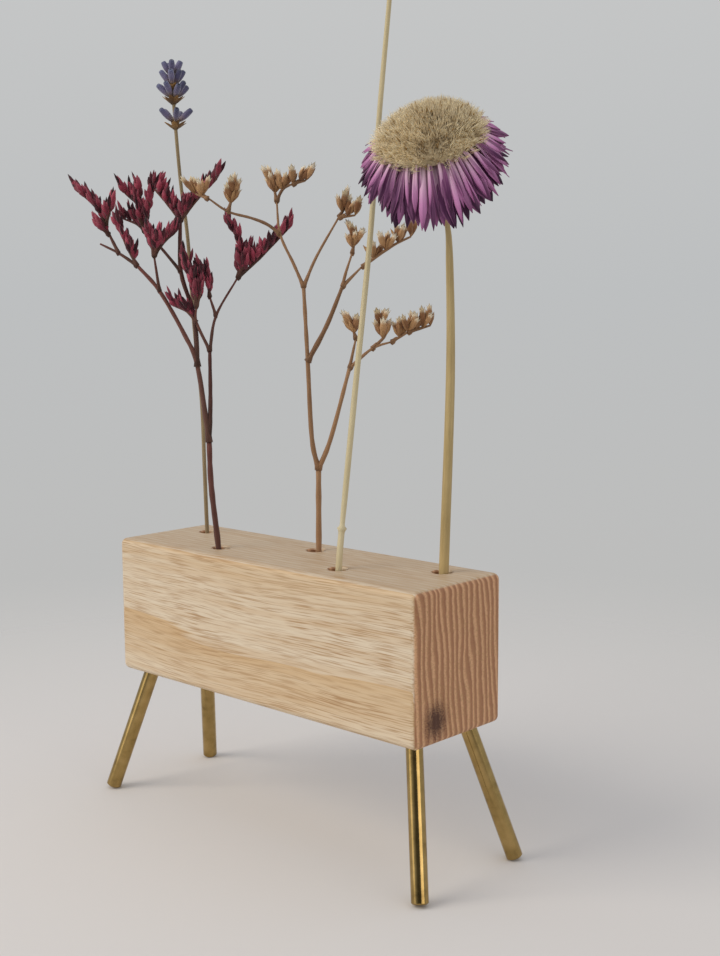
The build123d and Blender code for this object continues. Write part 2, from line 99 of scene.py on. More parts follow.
# Each row of spikelets: the twig that carries it, their number and their lean to the right
RED_ROWS = [
    ([(-36, -10, 103), (-38.5, -11, 108), (-44, -12, 113)], 7, -26),
    ([(-36, -10, 103), (-34, -8, 108)], 4, 0),
    ([(-35, -10, 100), (-37, -8, 101.5)], 3, -28),
    ([(-26, -8, 90), (-29, -7, 96), (-31, -6, 102)], 6, -4),
    ([(-24, -13, 101), (-27, -15, 103.5), (-31, -17, 105)], 4, -6),
    ([(-24, -13, 101), (-25, -13, 108), (-30, -13, 113)], 6, -8),
    ([(-24, -13, 101), (-26, -12, 107), (-25, -11.5, 113)], 6, -2),
    ([(-24, -13, 101), (-22.5, -11, 108), (-21, -10, 114)], 6, 2),
    ([(-20, -4, 93), (-21, -3, 99)], 5, -6),
    ([(-20, -4, 93), (-18.5, -3, 97.5)], 4, 0),
    ([(-20, -4, 93), (-16.5, -4, 97.5), (-13.5, -5, 100)], 5, 4),
    ([(-12, -8, 104), (-15, -9, 108), (-20, -9, 114)], 7, 8),
    ([(-12, -8, 104), (-9.5, -5, 107)], 5, 0),
    ([(-12, -8, 104), (-6, -7, 111), (0, -7, 117)], 8, 6),
    ([(-7, -4, 77), (-7.5, -3, 82), (-10, -3, 91)], 9, -6),
    ([(-7, -4, 77), (-5.5, -4, 82), (-5.5, -5, 88)], 6, -2),
    ([(-3, -7, 80), (-3.5, -7, 86)], 5, -2),
    ([(-7, -4, 72), (-10, -4, 75.5), (-13.5, -4, 77)], 4, -22),
    ([(6, -7, 86), (7.5, -7, 95), (4, -8, 102)], 9, -8),
    ([(6, -7, 86), (9.5, -6, 93)], 5, 0),
    ([(6, -7, 86), (13, -7, 92), (22, -7, 101)], 12, 6),
]
BROWN_STEM = [(1, 0.5, 26)]
BROWN_FORKS = [
    [(1, 0.5, 26), (-1, 1, 36), (-2, 2, 60), (-3, 3, 83)],
    [(-2, 2, 60), (4, 4, 71), (9, 5, 83)],
    [(1, 0.5, 26), (5, 1.5, 36), (11, 4, 58)],
]
BROWN_TWIGS = [
    [(9, 5, 83), (10, 5, 87), (12, 4, 93)],
    [(9, 5, 83), (15, 4, 89)],
    [(-3, 3, 83), (1, 3, 92), (8, 3, 104)],
    [(-3, 3, 83), (-6, 3, 90), (-10, 3, 99), (-11, 2, 109)],
    [(-10, 3, 99), (-14, 3, 102), (-19, 2, 104), (-26, 1, 106), (-32, 1, 110)],
    [(11, 4, 58), (13, 4, 67)],
    [(11, 4, 58), (18, 5.5, 64), (24, 4, 66)],
]
BROWN_ROWS = [
    ([(12, 4, 93), (13, 3, 98)], 7, 2),
    ([(15, 4, 89), (24, 5.5, 95), (30, 4.5, 98)], 11, 8),
    ([(8, 3, 104), (10, 2, 107)], 5, 4),
    ([(8, 3, 104), (13, 4, 104.5)], 4, 38),
    ([(-11, 2, 109), (-12, 1, 114)], 5, -6),
    ([(-11, 2, 109), (-9, 3, 112.5), (-6, 4, 114)], 5, 8),
    ([(-6, 4, 114), (-2, 4, 115)], 4, 48),
    ([(-32, 1, 110), (-36, 0, 111.5)], 5, -12),
    ([(-26, 1, 106), (-24.5, 1, 111)], 6, 4),
    ([(13, 4, 67), (12, 3, 70.5)], 5, -12),
    ([(18, 5.5, 64), (22, 4, 68), (20.5, 3, 71)], 6, 4),
    ([(24, 4, 66), (29, 6, 69)], 6, 4),
    ([(29, 6, 69), (36, 5, 71)], 7, 14),
]


# Working out surfaces

SKIN_FIELDS = ("along", "across", "reach", "tint")
Skin = namedtuple("Skin", ("points", "quads", "triangles", *SKIN_FIELDS))


def unit(vectors):
    """The same directions, one long."""
    return vectors / np.linalg.norm(vectors, axis=-1, keepdims=True)


def skin(rings, tint, across=None):
    """Closed surfaces over stacks of rings.

    Quads join each ring to the next all the way round, and triangles close both ends to the ring's middle.
    Every point also gets its share along the stack, its place across the ring, its reach from the foot in
    millimetres and the stack's own tint.
    """
    stacks, rows, columns, _ = rings.shape
    middles = rings.mean(axis=2)
    points = np.concatenate([rings.reshape(stacks, -1, 3), middles[:, [0, -1]]], axis=1)
    each = points.shape[1]
    column = np.arange(columns)
    beside = (column + 1) % columns
    row = columns * np.arange(rows - 1)[:, None]
    quads = np.stack([row + column, row + beside, row + columns + beside, row + columns + column], axis=-1)
    last = columns * (rows - 1)
    foot = np.stack([beside, column, np.full(columns, each - 2)], axis=-1)
    tip = np.stack([last + column, last + beside, np.full(columns, each - 1)], axis=-1)
    shift = each * np.arange(stacks)[:, None, None]
    steps = np.linalg.norm(np.diff(middles, axis=1), axis=-1)
    reach = np.concatenate([np.zeros((stacks, 1)), np.cumsum(steps, axis=1)], axis=1)
    if across is None:
        across = np.cos(2 * np.pi * column / columns)
    return Skin(
        points.reshape(-1, 3),
        (quads.reshape(1, -1, 4) + shift).reshape(-1, 4),
        (np.concatenate([foot, tip])[None] + shift).reshape(-1, 3),
        np.tile([*np.repeat(np.linspace(0, 1, rows), columns), 0, 1], stacks),
        np.tile([*np.tile(across, rows), 0, 0], stacks),
        np.concatenate([np.repeat(reach, columns, axis=1), reach[:, [0, -1]]], axis=1).ravel(),
        np.repeat(np.broadcast_to(tint, stacks), each),
    )


def sweep(path, offsets, reference, tint, ahead=None, across=None):
    """Carries a profile along lines.

    Each profile point is its line's point, plus its first offset towards the reference, made square to the
    line, its second sideways from that, and its third along the line.
    """
    if ahead is None:
        ahead = unit(np.gradient(path, axis=1))
    ahead = np.broadcast_to(ahead, path.shape)
    first = unit(reference - (reference * ahead).sum(axis=-1, keepdims=True) * ahead)
    axes = np.stack([first, np.cross(ahead, first), ahead], axis=-2)
    return skin(path[:, :, None, :] + offsets @ axes, tint, across)


def circle(columns, ribs=0, depth=0.0):
    """A round profile of radius 1 + depth x cos(ribs x angle)."""
    angle = 2 * np.pi * np.arange(columns) / columns
    radius = 1 + depth * np.cos(ribs * angle)
    return np.stack([radius * np.cos(angle), radius * np.sin(angle), 0 * angle], axis=-1)


def turned(feet, ways, heights, profile, tint):
    """Shapes turned on straight axes: at each height along the way, a ring with that row of the profile."""
    heights = np.broadcast_to(heights, (len(feet), np.shape(heights)[-1]))
    path = feet[:, None, :] + ways[:, None, :] * heights[..., None]
    reference = np.where(np.abs(ways @ TO_FRONT)[:, None] < 0.9, TO_FRONT, TO_RIGHT)[:, None, :]
    return sweep(path, profile, reference, tint, ahead=ways[:, None, :])


def lathed(foot, way, rows, sides, tint):
    """One round shape on a straight axis. rows gives its heights and radii."""
    heights, radii = np.transpose(rows)
    profile = radii[:, None, None] * circle(sides)
    return turned(foot[None], way[None], heights, profile[None], tint)


def curve(points, steps):
    """A smooth line through points, in so many steps from each to the next.

    Between two points it is the cubic whose slope at each is half the way from the point before to the next.
    """
    points = np.asarray(points, float)
    ends = np.vstack([2 * points[0] - points[1], points, 2 * points[-1] - points[-2]])
    place = np.linspace(0, len(points) - 1, steps * (len(points) - 1) + 1)
    run = np.minimum(place.astype(int), len(points) - 2)
    share = (place - run)[:, None]
    before, start, end, after = (ends[run + number] for number in range(4))
    cubic = 3 * (start - end) + after - before
    square = 2 * before - 5 * start + 4 * end - after
    return start + share / 2 * (end - before + share * (square + share * cubic))


def lengths_along(path):
    """How far each point of a line is from its start."""
    steps = np.linalg.norm(np.diff(path, axis=0), axis=-1)
    return np.concatenate([[0], np.cumsum(steps)])


def points_along(path, shares):
    """The points at these shares of a line's length."""
    reach = lengths_along(path)
    return np.stack([np.interp(shares * reach[-1], reach, path[:, axis]) for axis in range(3)], axis=-1)


def tube(path, radii, sides, ribs=0, depth=0.0, tint=0.5):
    """A round or ribbed profile carried along one line, as thick as radii say."""
    offsets = np.broadcast_to(radii, len(path))[None, :, None, None] * circle(sides, ribs, depth)
    return sweep(path[None], offsets, TO_FRONT, tint)


def at_hole(hole, offsets):
    """Points to the right of, in front of and above the mouth of a hole, given by its number and side."""
    right, front, above = np.moveaxis(np.asarray(offsets, float), -1, 0)[..., None]
    number, side = hole
    mouth = np.array([number * HOLE_PITCH, side * HOLE_STAGGER, block_top])
    return mouth + right * TO_RIGHT + front * TO_FRONT + above * UP


def stem_points(hole, node, diameter, lean, points):
    """A stem's points from its foot in the hole, through the mouth and on.

    lean is how far right it stands at the mouth and at the foot, as shares of its free play.
    """
    play = HOLE_RADIUS - diameter / 2 - STEM_WALL_GAP
    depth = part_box(node)[0].z / MM - block_top
    return at_hole(hole, [(lean[1] * play, 0, depth), (lean[0] * play, 0, 0), *points])


def tilted(lean, spread):
    """Directions near upright, leaning so many degrees to the right and to the front."""
    lean, spread = np.radians(lean)[:, None], np.radians(spread)[:, None]
    return unit(UP + np.sin(lean) * TO_RIGHT + np.sin(spread) * TO_FRONT)


def outward(turns):
    """Level directions at these turns from the right towards the front."""
    return np.cos(turns)[:, None] * TO_RIGHT + np.sin(turns)[:, None] * TO_FRONT


def channel(widths, bulge, thickness):
    """The closed outline of a thin leaf's section, its middle raised by bulge times its half width.

    It is as thick as 1 - 0.7 x (place across) squared says.
    """
    side = np.linspace(1, -1, 5)
    across = np.concatenate([-side, side])
    face = np.repeat([1, -1], len(side))
    edge = 1 - 0.7 * across ** 2
    half = np.asarray(widths)[..., None] / 2
    rise = bulge * half * (1 - across ** 2) + face * edge * thickness / 2
    return np.stack([rise, half * across, 0 * rise], axis=-1), across


def scales(feet, ways, facing, tint, lengths, widths, curl):
    """Pointed scales: a shallow channel along a line that bends over by curl times its length squared.

    The outline is widest at a third of the length, and the channel is 1 - (place across) squared deep.
    """
    share = np.linspace(0, 1, 8)
    outline = np.interp(share, [0, 0.3, 0.7, 0.92, 1], [0.55, 1.0, 0.7, 0.25, 0.05])
    facing = unit(facing - (facing * ways).sum(axis=-1, keepdims=True) * ways)
    bend = share[:, None] * ways[:, None] + curl * share[:, None] ** 2 * facing[:, None]
    path = feet[:, None] + np.reshape(lengths, (-1, 1, 1)) * bend
    offsets, across = channel(np.reshape(widths, (-1, 1)) * outline, SCALE_BULGE, SCALE_THICKNESS)
    return sweep(path, offsets, facing[:, None], tint, across=across)


def spindles(feet, ways, tint, lengths, widths):
    """Pointed five-sided spindles, widest just past the middle."""
    share = np.array([0, 0.2, 0.5, 0.75, 1.0])
    swell = np.array([0.3, 0.7, 1.0, 0.72, 0.06])
    profile = np.reshape(widths, (-1, 1, 1, 1)) / 2 * swell[:, None, None] * circle(5)
    return turned(feet, ways, np.reshape(lengths, (-1, 1)) * share, profile, tint)


# Putting surfaces into the scene

def dress(name, body, slot, finish, skins, *nodes):
    """One smooth-shaded object of these skins, which rides on a body and stands for CAD nodes."""
    starts = np.cumsum([0, *(len(part.points) for part in skins)])
    quads = np.concatenate([part.quads + start for part, start in zip(skins, starts)])
    triangles = np.concatenate([part.triangles + start for part, start in zip(skins, starts)])
    mesh = bpy.data.meshes.new(name)
    points = np.concatenate([part.points for part in skins]) * MM
    mesh.from_pydata(points.tolist(), [], quads.tolist() + triangles.tolist())
    mesh.polygons.foreach_set("use_smooth", np.ones(len(mesh.polygons), bool))
    for field in SKIN_FIELDS:
        values = np.concatenate([getattr(part, field) for part in skins]).astype(np.float32)
        mesh.attributes.new(field, "FLOAT", "POINT").data.foreach_set("value", values)
    mesh.materials.append(finish)
    piece = bpy.data.objects.new(name, mesh)
    bpy.context.scene.collection.objects.link(piece)
    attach(piece, body)
    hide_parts(*nodes)


def linear(colour):
    """An sRGB hex colour as the linear values that a shader takes."""
    channels = np.array([int(colour[start:start + 2], 16) for start in (1, 3, 5)]) / 255
    low, high = channels / 12.92, ((channels + 0.055) / 1.055) ** 2.4
    return (*np.where(channels <= 0.04045, low, high), 1.0)


def add_node(tree, kind, links=(), stops=(), **settings):
    """Adds a node with its settings and returns its outputs.

    links gives each input's source socket or plain value, by name or number, and stops a ramp's places and
    colours.
    """
    node = tree.nodes.new("ShaderNode" + kind)
    for name, value in settings.items():
        setattr(node, name, value)
    for place, source in dict(links).items():
        if isinstance(source, bpy.types.NodeSocket):
            tree.links.new(source, node.inputs[place])
        else:
            node.inputs[place].default_value = source
    for number, (place, colour) in enumerate(stops):
        elements = node.color_ramp.elements
        element = elements[number] if number < len(elements) else elements.new(place)
        element.position = place
        element.color = linear(colour)
    return node.outputs


def blank_material(name):
    """An empty material and the function that adds nodes to it."""
    material = bpy.data.materials.new(name)
    material.use_nodes = True
    material.node_tree.nodes.clear()
    return material, partial(add_node, material.node_tree)


# Finishes

FIBRE_SHIFT = 40.0  # sets each piece's streaks apart from the next one's

# Oiled oak: sizes of its patterns in millimetres along, through and up the block
OAK_DRIFT = (0.0, 1.0, 6.0)
OAK_DRIFT_SIZE = (80.0, 25.0, 40.0)
OAK_RING_SLANT = (0.0019, 1.0, 0.07)
OAK_RING_START = 0.785  # sets the front's band just below half its height
OAK_RING_WIDTH = 2.4
OAK_FEATHER = 0.3  # of a ring's width
OAK_STREAK_SIZE = (60.0, 2.2, 1.8)
OAK_WAVER = 1.6  # rings
OAK_WAVER_SIZE = (60.0, 7.0, 24.0)
OAK_PORE_SIZE = (10.0, 0.33, 0.33)  # a little coarser than real pores, so that they show
OAK_PORE_DEPTH = 0.06
OAK_ZONE_SIZE = (45.0, 14.0, 10.0)
OAK_KNOT = (65.5, -10.5, 49.4)
OAK_KNOT_SIZE = (8.0, 6.0, 7.0)
OAK_KNOT_RAGS = 1.2  # of the knot's size

# Drawn brass: sizes in millimetres across and along a rod
BRASS_SCRATCH_SIZE = (1 / 3, 1 / 3, 12.0)
BRASS_SCRATCH_DEPTH = 0.02
BRASS_BLOTCH_SIZE = 4.0


def dried(
        name, light, dark, places=(0, 1), streak=4.0, strands=3.0, roughness=0.75, sheen=0.15, relief=0.06,
        edge=0.0):
    """Dried plant: papery or woody, dull, streaked along its length, each stem, scale or hair its own shade.

    light and dark are colours at places from foot, 0, to tip, 1. streak is a streak's length and relief its
    depth in millimetres, strands how many lie side by side, and edge how much paler a thin edge is.
    """
    material, add = blank_material(name)
    along, across, reach, tint = (add("Attribute", attribute_name=field)["Fac"] for field in SKIN_FIELDS)
    place = add("CombineXYZ", {0: reach, 1: across, 2: tint})[0]
    stretch = (1 / streak, strands, FIBRE_SHIFT)
    stretched = add("VectorMath", {0: place, 1: stretch}, operation="MULTIPLY")[0]
    fibre = add("TexNoise", {"Vector": stretched, "Scale": 1.0, "Detail": 4.0})[0]
    shade = add("Math", {0: tint, 1: fibre}, operation="ADD")[0]
    # Paler thin edges: on the petals partly their own colour and partly painted highlight
    aside = add("Math", {0: across}, operation="ABSOLUTE")[0]
    thin = add("Math", {0: aside, 1: 5.0}, operation="POWER")[0]
    shade = add("Math", {0: thin, 1: -edge, 2: shade}, operation="MULTIPLY_ADD")[0]
    share = add("MapRange", {"Value": shade, "From Min": 0.55, "From Max": 1.45})[0]
    pale = add("ValToRGB", {0: along}, stops=zip(places, light))[0]
    deep = add("ValToRGB", {0: along}, stops=zip(places, dark))[0]
    colour = add("Mix", {0: share, 6: pale, 7: deep}, data_type="RGBA")[2]
    bump = add("Bump", {"Strength": 0.6, "Distance": relief * MM, "Height": fibre})[0]
    shader = add("BsdfPrincipled", {
        "Base Color": colour, "Roughness": roughness, "Normal": bump, "Sheen Weight": sheen,
        "Sheen Roughness": 0.5, "Specular IOR Level": 0.3,
    })[0]
    add("OutputMaterial", {"Surface": shader})
    return material


def oak_rings(add, straight, grain, normal):
    """The wood's colour: close lines on the ends, one broad feathered band on each side, and a duller top,
    which is painted shade.

    Growth rings stand nearly upright. A ring's number is the place along their slant over their width.
    """
    slant = add("VectorMath", {0: grain, 1: OAK_RING_SLANT}, operation="DOT_PRODUCT")["Value"]
    ring = add("Math", {0: slant, 1: 1 / OAK_RING_WIDTH, 2: OAK_RING_START}, operation="MULTIPLY_ADD")[0]
    place = add("VectorMath", {0: grain, 1: OAK_STREAK_SIZE}, operation="DIVIDE")[0]
    streaks = add("TexNoise", {"Vector": place, "Scale": 1.0, "Detail": 2.0, "Roughness": 0.6})[0]
    feathered = add("Math", {0: streaks, 1: OAK_FEATHER, 2: ring}, operation="MULTIPLY_ADD")[0]
    phase = add("Math", {0: feathered}, operation="FRACT")[0]
    band = add("ValToRGB", {0: phase}, stops=[
        (0.0, "#e6d6bc"), (0.45, "#e4d3b8"), (0.75, "#dfc8a6"), (0.97, "#d6b68a"), (1.0, "#e6d6bc"),
    ])[0]
    tawny = add("MapRange", {"Value": streaks, "From Min": 0.4, "From Max": 0.75, "To Max": 0.6})[0]
    side = add("Mix", {0: tawny, 6: band, 7: linear("#cfae84")}, data_type="RGBA")[2]
    # On the ends the rings are wider in some years than in others
    place = add("VectorMath", {0: straight, 1: OAK_WAVER_SIZE}, operation="DIVIDE")[0]
    waver = add("TexNoise", {"Vector": place, "Scale": 1.0, "Detail": 1.0})[0]
    years = add("Math", {0: waver, 1: OAK_WAVER, 2: feathered}, operation="MULTIPLY_ADD")[0]
    year = add("Math", {0: years}, operation="FRACT")[0]
    # End grain: its own darker rings, in colours lifted to stand in for light on the end faces, so partly
    # painted light
    end = add("ValToRGB", {0: year}, stops=[
        (0.0, "#dcac82"), (0.2, "#d8a67c"), (0.42, "#ae7c58"), (0.8, "#9e6c4c"), (1.0, "#dcac82"),
    ])[0]
    facing = add("SeparateXYZ", {0: normal})
    # Painted shade: faces that look up are mixed towards a dull grey-brown
    top_shade_share = add("MapRange", {"Value": facing["Z"], "From Min": 0.5, "From Max": 0.9, "To Max": 0.35})[0]
    top_shaded = add("Mix", {0: top_shade_share, 6: side, 7: linear("#8e7251")}, data_type="RGBA")[2]
    endwise = add("Math", {0: facing["X"]}, operation="ABSOLUTE")[0]
    end_share = add("MapRange", {"Value": endwise, "From Min": 0.45, "From Max": 0.7})[0]
    return add("Mix", {0: end_share, 6: top_shaded, 7: end}, data_type="RGBA")[2]


def oak_pores(add, grain):
    """Pores: dashes along the grain, crowded in some zones and faint in others, and their noise."""
    place = add("VectorMath", {0: grain, 1: OAK_PORE_SIZE}, operation="DIVIDE")[0]
    noise = add("TexNoise", {"Vector": place, "Scale": 1.0, "Detail": 1.0})[0]
    dash = add("MapRange", {"Value": noise, "From Min": 0.46, "From Max": 0.68})[0]
    place = add("VectorMath", {0: grain, 1: OAK_ZONE_SIZE}, operation="DIVIDE")[0]
    zones = add("TexNoise", {"Vector": place, "Scale": 1.0, "Detail": 2.0})[0]
    crowding = add("MapRange", {
        "Value": zones, "From Min": 0.35, "From Max": 0.65, "To Min": 0.35, "To Max": 0.85,
    })[0]
    return add("Math", {0: dash, 1: crowding}, operation="MULTIPLY")[0], noise


def oak_knot(add, straight, noise):
    """The share of a small dark knot low on the right-hand end, an egg shape made ragged by noise."""
    place = add("VectorMath", {0: straight, 1: OAK_KNOT}, operation="SUBTRACT")[0]
    away = add("VectorMath", {0: place, 1: OAK_KNOT_SIZE}, operation="DIVIDE")[0]
    reach = add("VectorMath", {0: away}, operation="LENGTH")["Value"]
    ragged = add("Math", {0: noise, 1: OAK_KNOT_RAGS, 2: reach}, operation="MULTIPLY_ADD")[0]
    return add("MapRange", {
        "Value": ragged, "From Min": 0.9, "From Max": 1.6, "To Min": 0.95, "To Max": 0.0,
    })[0]


def oiled_oak():
    """Oiled oak: pale, with tawny streaks, fine pore dashes, a duller top that is painted shade, and a brown
    ringed end grain, lightened in part as painted light.
    """
    material, add = blank_material("oiled_oak")
    coordinates = add("TexCoord")
    straight = add("Mapping", {"Vector": coordinates["Object"], "Scale": (1 / MM,) * 3})[0]
    # The fibres wander a few millimetres up and down along the block
    place = add("VectorMath", {0: straight, 1: OAK_DRIFT_SIZE}, operation="DIVIDE")[0]
    drift = add("TexNoise", {"Vector": place, "Scale": 1.0, "Detail": 1.0})["Color"]
    grain = add("VectorMath", {0: drift, 1: OAK_DRIFT, 2: straight}, operation="MULTIPLY_ADD")[0]
    ringed = oak_rings(add, straight, grain, coordinates["Normal"])
    dashes, noise = oak_pores(add, grain)
    pored = add("Mix", {0: dashes, 6: ringed, 7: linear("#ad8558")}, data_type="RGBA")[2]
    knot = oak_knot(add, straight, noise)
    colour = add("Mix", {0: knot, 6: pored, 7: linear("#46220f")}, data_type="RGBA")[2]
    relief = {"Strength": 0.4, "Distance": OAK_PORE_DEPTH * MM, "Height": dashes}
    bump = add("Bump", relief, invert=True)[0]
    shader = add("BsdfPrincipled", {
        "Base Color": colour, "Roughness": 0.5, "Normal": bump, "Specular IOR Level": 0.4,
    })[0]
    add("OutputMaterial", {"Surface": shader})
    return material


def drawn_brass(name, axis):
    """Drawn brass rod: satin, gone dull and blotchy, with fine scratches along its length."""
    material, add = blank_material(name)
    place = add("TexCoord")["Object"]
    turn = axis.rotation_difference(Vector((0, 0, 1))).to_euler()
    rod = add("Mapping", {"Vector": place, "Rotation": turn, "Scale": (1 / MM,) * 3})[0]
    drawn = add("VectorMath", {0: rod, 1: BRASS_SCRATCH_SIZE}, operation="DIVIDE")[0]
    scratch = add("TexNoise", {"Vector": drawn, "Scale": 1.0, "Detail": 3.0})[0]
    blotch = add("TexNoise", {"Vector": rod, "Scale": 1 / BRASS_BLOTCH_SIZE, "Detail": 4.0})[0]
    tarnish = add("MapRange", {"Value": blotch, "From Min": 0.3, "From Max": 0.8})[0]
    colour = add("ValToRGB", {0: tarnish}, stops=[
        (0.0, "#b89c66"), (0.6, "#a48a56"), (1.0, "#7d663e"),
    ])[0]
    rough = add("MapRange", {"Value": scratch, "To Min": 0.08, "To Max": 0.24})[0]
    bump = add("Bump", {"Strength": 0.3, "Distance": BRASS_SCRATCH_DEPTH * MM, "Height": scratch})[0]
    shader = add("BsdfPrincipled", {
        "Base Color": colour, "Metallic": 1.0, "Roughness": rough, "Normal": bump,
    })[0]
    add("OutputMaterial", {"Surface": shader})
    return material


# Vase: the solid wood and the rods keep their shapes

def set_finish(node, material):
    """Gives a CAD node its finish."""
    for slot in frame["nodes"][node].material_slots:
        slot.material = material


set_finish("block", oiled_oak())
for mount in frame["record"]["mounts"]:
    if mount["name"].startswith("foot_"):
        leg = mount["name"].replace("foot_", "leg_")
        set_finish(leg, drawn_brass(leg + "_brass", Vector(mount["axis"])))


# Lavender

LAVENDER_STEM_DIAMETER = 1.3
LAVENDER_TOP_DIAMETER = 1.0
LAVENDER_BUD_WIDTH = 2.1
LAVENDER_BRACT_WIDTH = 3.6
LAVENDER_RING_TURN = 0.4
LAVENDER_LEAN = (-0.25, 0.25)
LAVENDER_SCALE_FOOT = (0.45, -1.4)  # out from and up from the foot of a ring
LAVENDER_SCALE = {"widths": 2.3, "curl": 0.12}
LAVENDER_FUNNEL = [(-1.6, 0.9), (-0.4, 1.15), (1.2, 1.55), (0.8, 1.2)]  # heights and radii


def lavender_stalk(line):
    """A four-cornered stem: radius 1 + 0.1 x cos(4 x angle), tapering evenly."""
    radii = np.linspace(LAVENDER_STEM_DIAMETER, LAVENDER_TOP_DIAMETER, len(line)) / 2
    return tube(line, radii, sides=12, ribs=4, depth=0.1)


def lavender_ring_frames(line):
    """Each ring's foot on the stem, its number of buds, their spread and their length."""
    heights = line[:, 2] - block_top
    for height, count, spread, length in LAVENDER_RINGS:
        foot = np.array([np.interp(height, heights, line[:, axis]) for axis in range(3)])
        yield foot, count, np.radians(spread), length


def lavender_buds(line):
    """Ribbed barrels with a blunt, puckered end, in rings that open outwards."""
    shares = np.array([0, 0.12, 0.35, 0.6, 0.82, 0.95, 1.0, 0.93])
    swell = np.array([0.5, 0.72, 0.95, 1.0, 0.9, 0.78, 0.5, 0.3])
    skins = []
    for ring, (foot, count, spread, length) in enumerate(lavender_ring_frames(line)):
        turns = 2 * np.pi * (np.arange(count) + ring * LAVENDER_RING_TURN) / count
        ways = np.cos(spread) * UP + np.sin(spread) * outward(turns)
        ways = unit(ways + chance.normal(0, 0.06, ways.shape))
        lengths = length * chance.uniform(0.9, 1.05, count)
        radii = LAVENDER_BUD_WIDTH / 2 * chance.uniform(0.85, 1.0, count)
        profile = radii[:, None, None, None] * swell[:, None, None] * circle(20, ribs=10, depth=0.07)
        feet = foot + ways * LAVENDER_BRACT_WIDTH / 2
        skins.append(turned(feet, ways, lengths[:, None] * shares, profile, chance.uniform(0, 1, count)))
    return skins


def lavender_bracts(line):
    """Broad pointed scales that cup each ring of buds, over a small funnel."""
    scale_out, scale_up = LAVENDER_SCALE_FOOT
    skins = []
    for foot, count, spread, length in lavender_ring_frames(line):
        out = outward(2 * np.pi * (np.arange(count + 1) + 0.5) / (count + 1))
        ways = unit(np.cos(spread) * UP + np.sin(spread) * out)
        feet = foot + scale_up * UP + scale_out * out
        lengths = length * chance.uniform(0.7, 0.9, len(feet))
        tints = chance.uniform(0, 1, len(feet))
        skins.append(scales(feet, ways, out, tints, lengths, **LAVENDER_SCALE))
        skins.append(lathed(foot, UP, LAVENDER_FUNNEL, sides=12, tint=0.6))
    return skins


lavender_points = stem_points(
    LAVENDER_HOLE, "lavender_stem", LAVENDER_STEM_DIAMETER, LAVENDER_LEAN, LAVENDER_STEM)
lavender_line = curve(lavender_points, steps=8)
# Dry stem: dull tan, streaked lengthwise
dress(
    "lavender_stalk", "lavender", "lavender_stem",
    dried("dry_lavender_stem", ("#a8946e", "#b09c74"), ("#75624a", "#7c6a4c"), streak=9),
    [lavender_stalk(lavender_line)], "lavender_stem")
# Dry bract: brown and papery, warmer at its tip
dress(
    "lavender_cupped_bracts", "lavender", "lavender_bract",
    dried("dry_lavender_bract", ("#8a6f48", "#b08448"), ("#5a452e", "#75522c"), streak=2),
    lavender_bracts(lavender_line), "lavender_bracts")
# Downy calyx: buff at its foot and slate violet above, with a soft sheen
dress(
    "lavender_ribbed_buds", "lavender", "lavender_bud",
    dried(
        "downy_lavender_calyx", ("#bca494", "#9088a8", "#6e7296", "#505870"),
        ("#8a7264", "#605a7c", "#464a66", "#343a4c"), places=(0, 0.35, 0.75, 1), streak=3, sheen=0.5),
    lavender_buds(lavender_line), "lavender_buds")


# Red statice and brown statice

STATICE_DIAMETERS = (2.0, 1.7, 1.15, 0.6)  # of a stem, a fork, a twig and its end
JOINT_SWELL = 0.4  # of a twig's radius
JOINT_SWELL_LENGTH = 1.2
FORK_SCALE = {"lengths": 3.0, "widths": 1.5, "curl": 0.1}
FORK_SCALE_DROP = 0.8
RED_SPIKELET_LENGTH = 7.0
BROWN_SPIKELET_LENGTH = 6.2
SPIKELET_SPREAD = 20.0
SPIKELET_FAN = 13.0
SPIKELET_SCATTER = 8.0
BUNCH_FAN = 24.0
BROWN_BUNCH = 3
RED_LEAN = (-0.6, 0.6)
BROWN_LEAN = (0.5, 0.5)
# Each scale of a red spikelet: its own lean, spread and lift, its share of the length, width and shade
RED_SCALES = [
    (0, 0, 0.3, 0.85, 1.9, 0.0), (-15, 8, 0.0, 0.62, 1.8, 0.1), (14, -8, 0.0, 0.66, 1.7, 0.1),
    (-6, -12, 1.0, 0.66, 1.4, 0.2), (7, 12, 1.6, 0.68, 1.4, 0.15), (0, 4, 2.6, 0.66, 1.1, 0.2),
]
# The calyx and the scales of a brown spikelet: their own lean, spread and lift
BROWN_CALYX = [(0, 0, 0.8)]
BROWN_SCALES = [(-13, 10, 0.0), (13, -8, 0.0)]
CALYX_TEETH = np.array([1, -0.7, 0.8, -0.9, 1.0, -0.6, 0.6, -0.8])


def twigs(hole, stem, forks, branches, rows):
    """Thin tubes along smooth lines, with a small scale at each fork.

    A twig swells where it leaves its parent, by a bell curve, and two sine waves make it uneven.
    """
    stem_wide, fork_wide, twig_wide, end_wide = STATICE_DIAMETERS
    twig_points = [*branches, *(row[0] for row in rows)]
    runs = [(stem, stem_wide, fork_wide)]
    runs += [(at_hole(hole, points), fork_wide, twig_wide) for points in forks]
    runs += [(at_hole(hole, points), twig_wide, end_wide) for points in twig_points]
    skins = []
    for number, (points, start, end) in enumerate(runs):
        line = curve(points, steps=6)
        reach = lengths_along(line)
        radii = np.linspace(start, end, len(line)) / 2
        if number:
            radii = radii * (1 + JOINT_SWELL * np.exp(-(reach / JOINT_SWELL_LENGTH) ** 2))
        wander = 1 + 0.06 * np.sin(reach * 0.9 + number) + 0.04 * np.sin(reach * 2.3)
        tint = chance.uniform(0.1, 0.8)
        skins.append(tube(line, radii * wander, sides=8, ribs=3, depth=0.06, tint=tint))
    feet = np.array([points[0] for points, start, end in runs[1:]])
    ways = unit(np.array([points[1] - points[0] for points, start, end in runs[1:]]))
    tints = chance.uniform(0.3, 0.9, len(feet))
    feet = feet - FORK_SCALE_DROP * UP
    skins.append(scales(feet, unit(ways + 0.8 * UP), TO_FRONT, tints, **FORK_SCALE))
    return skins


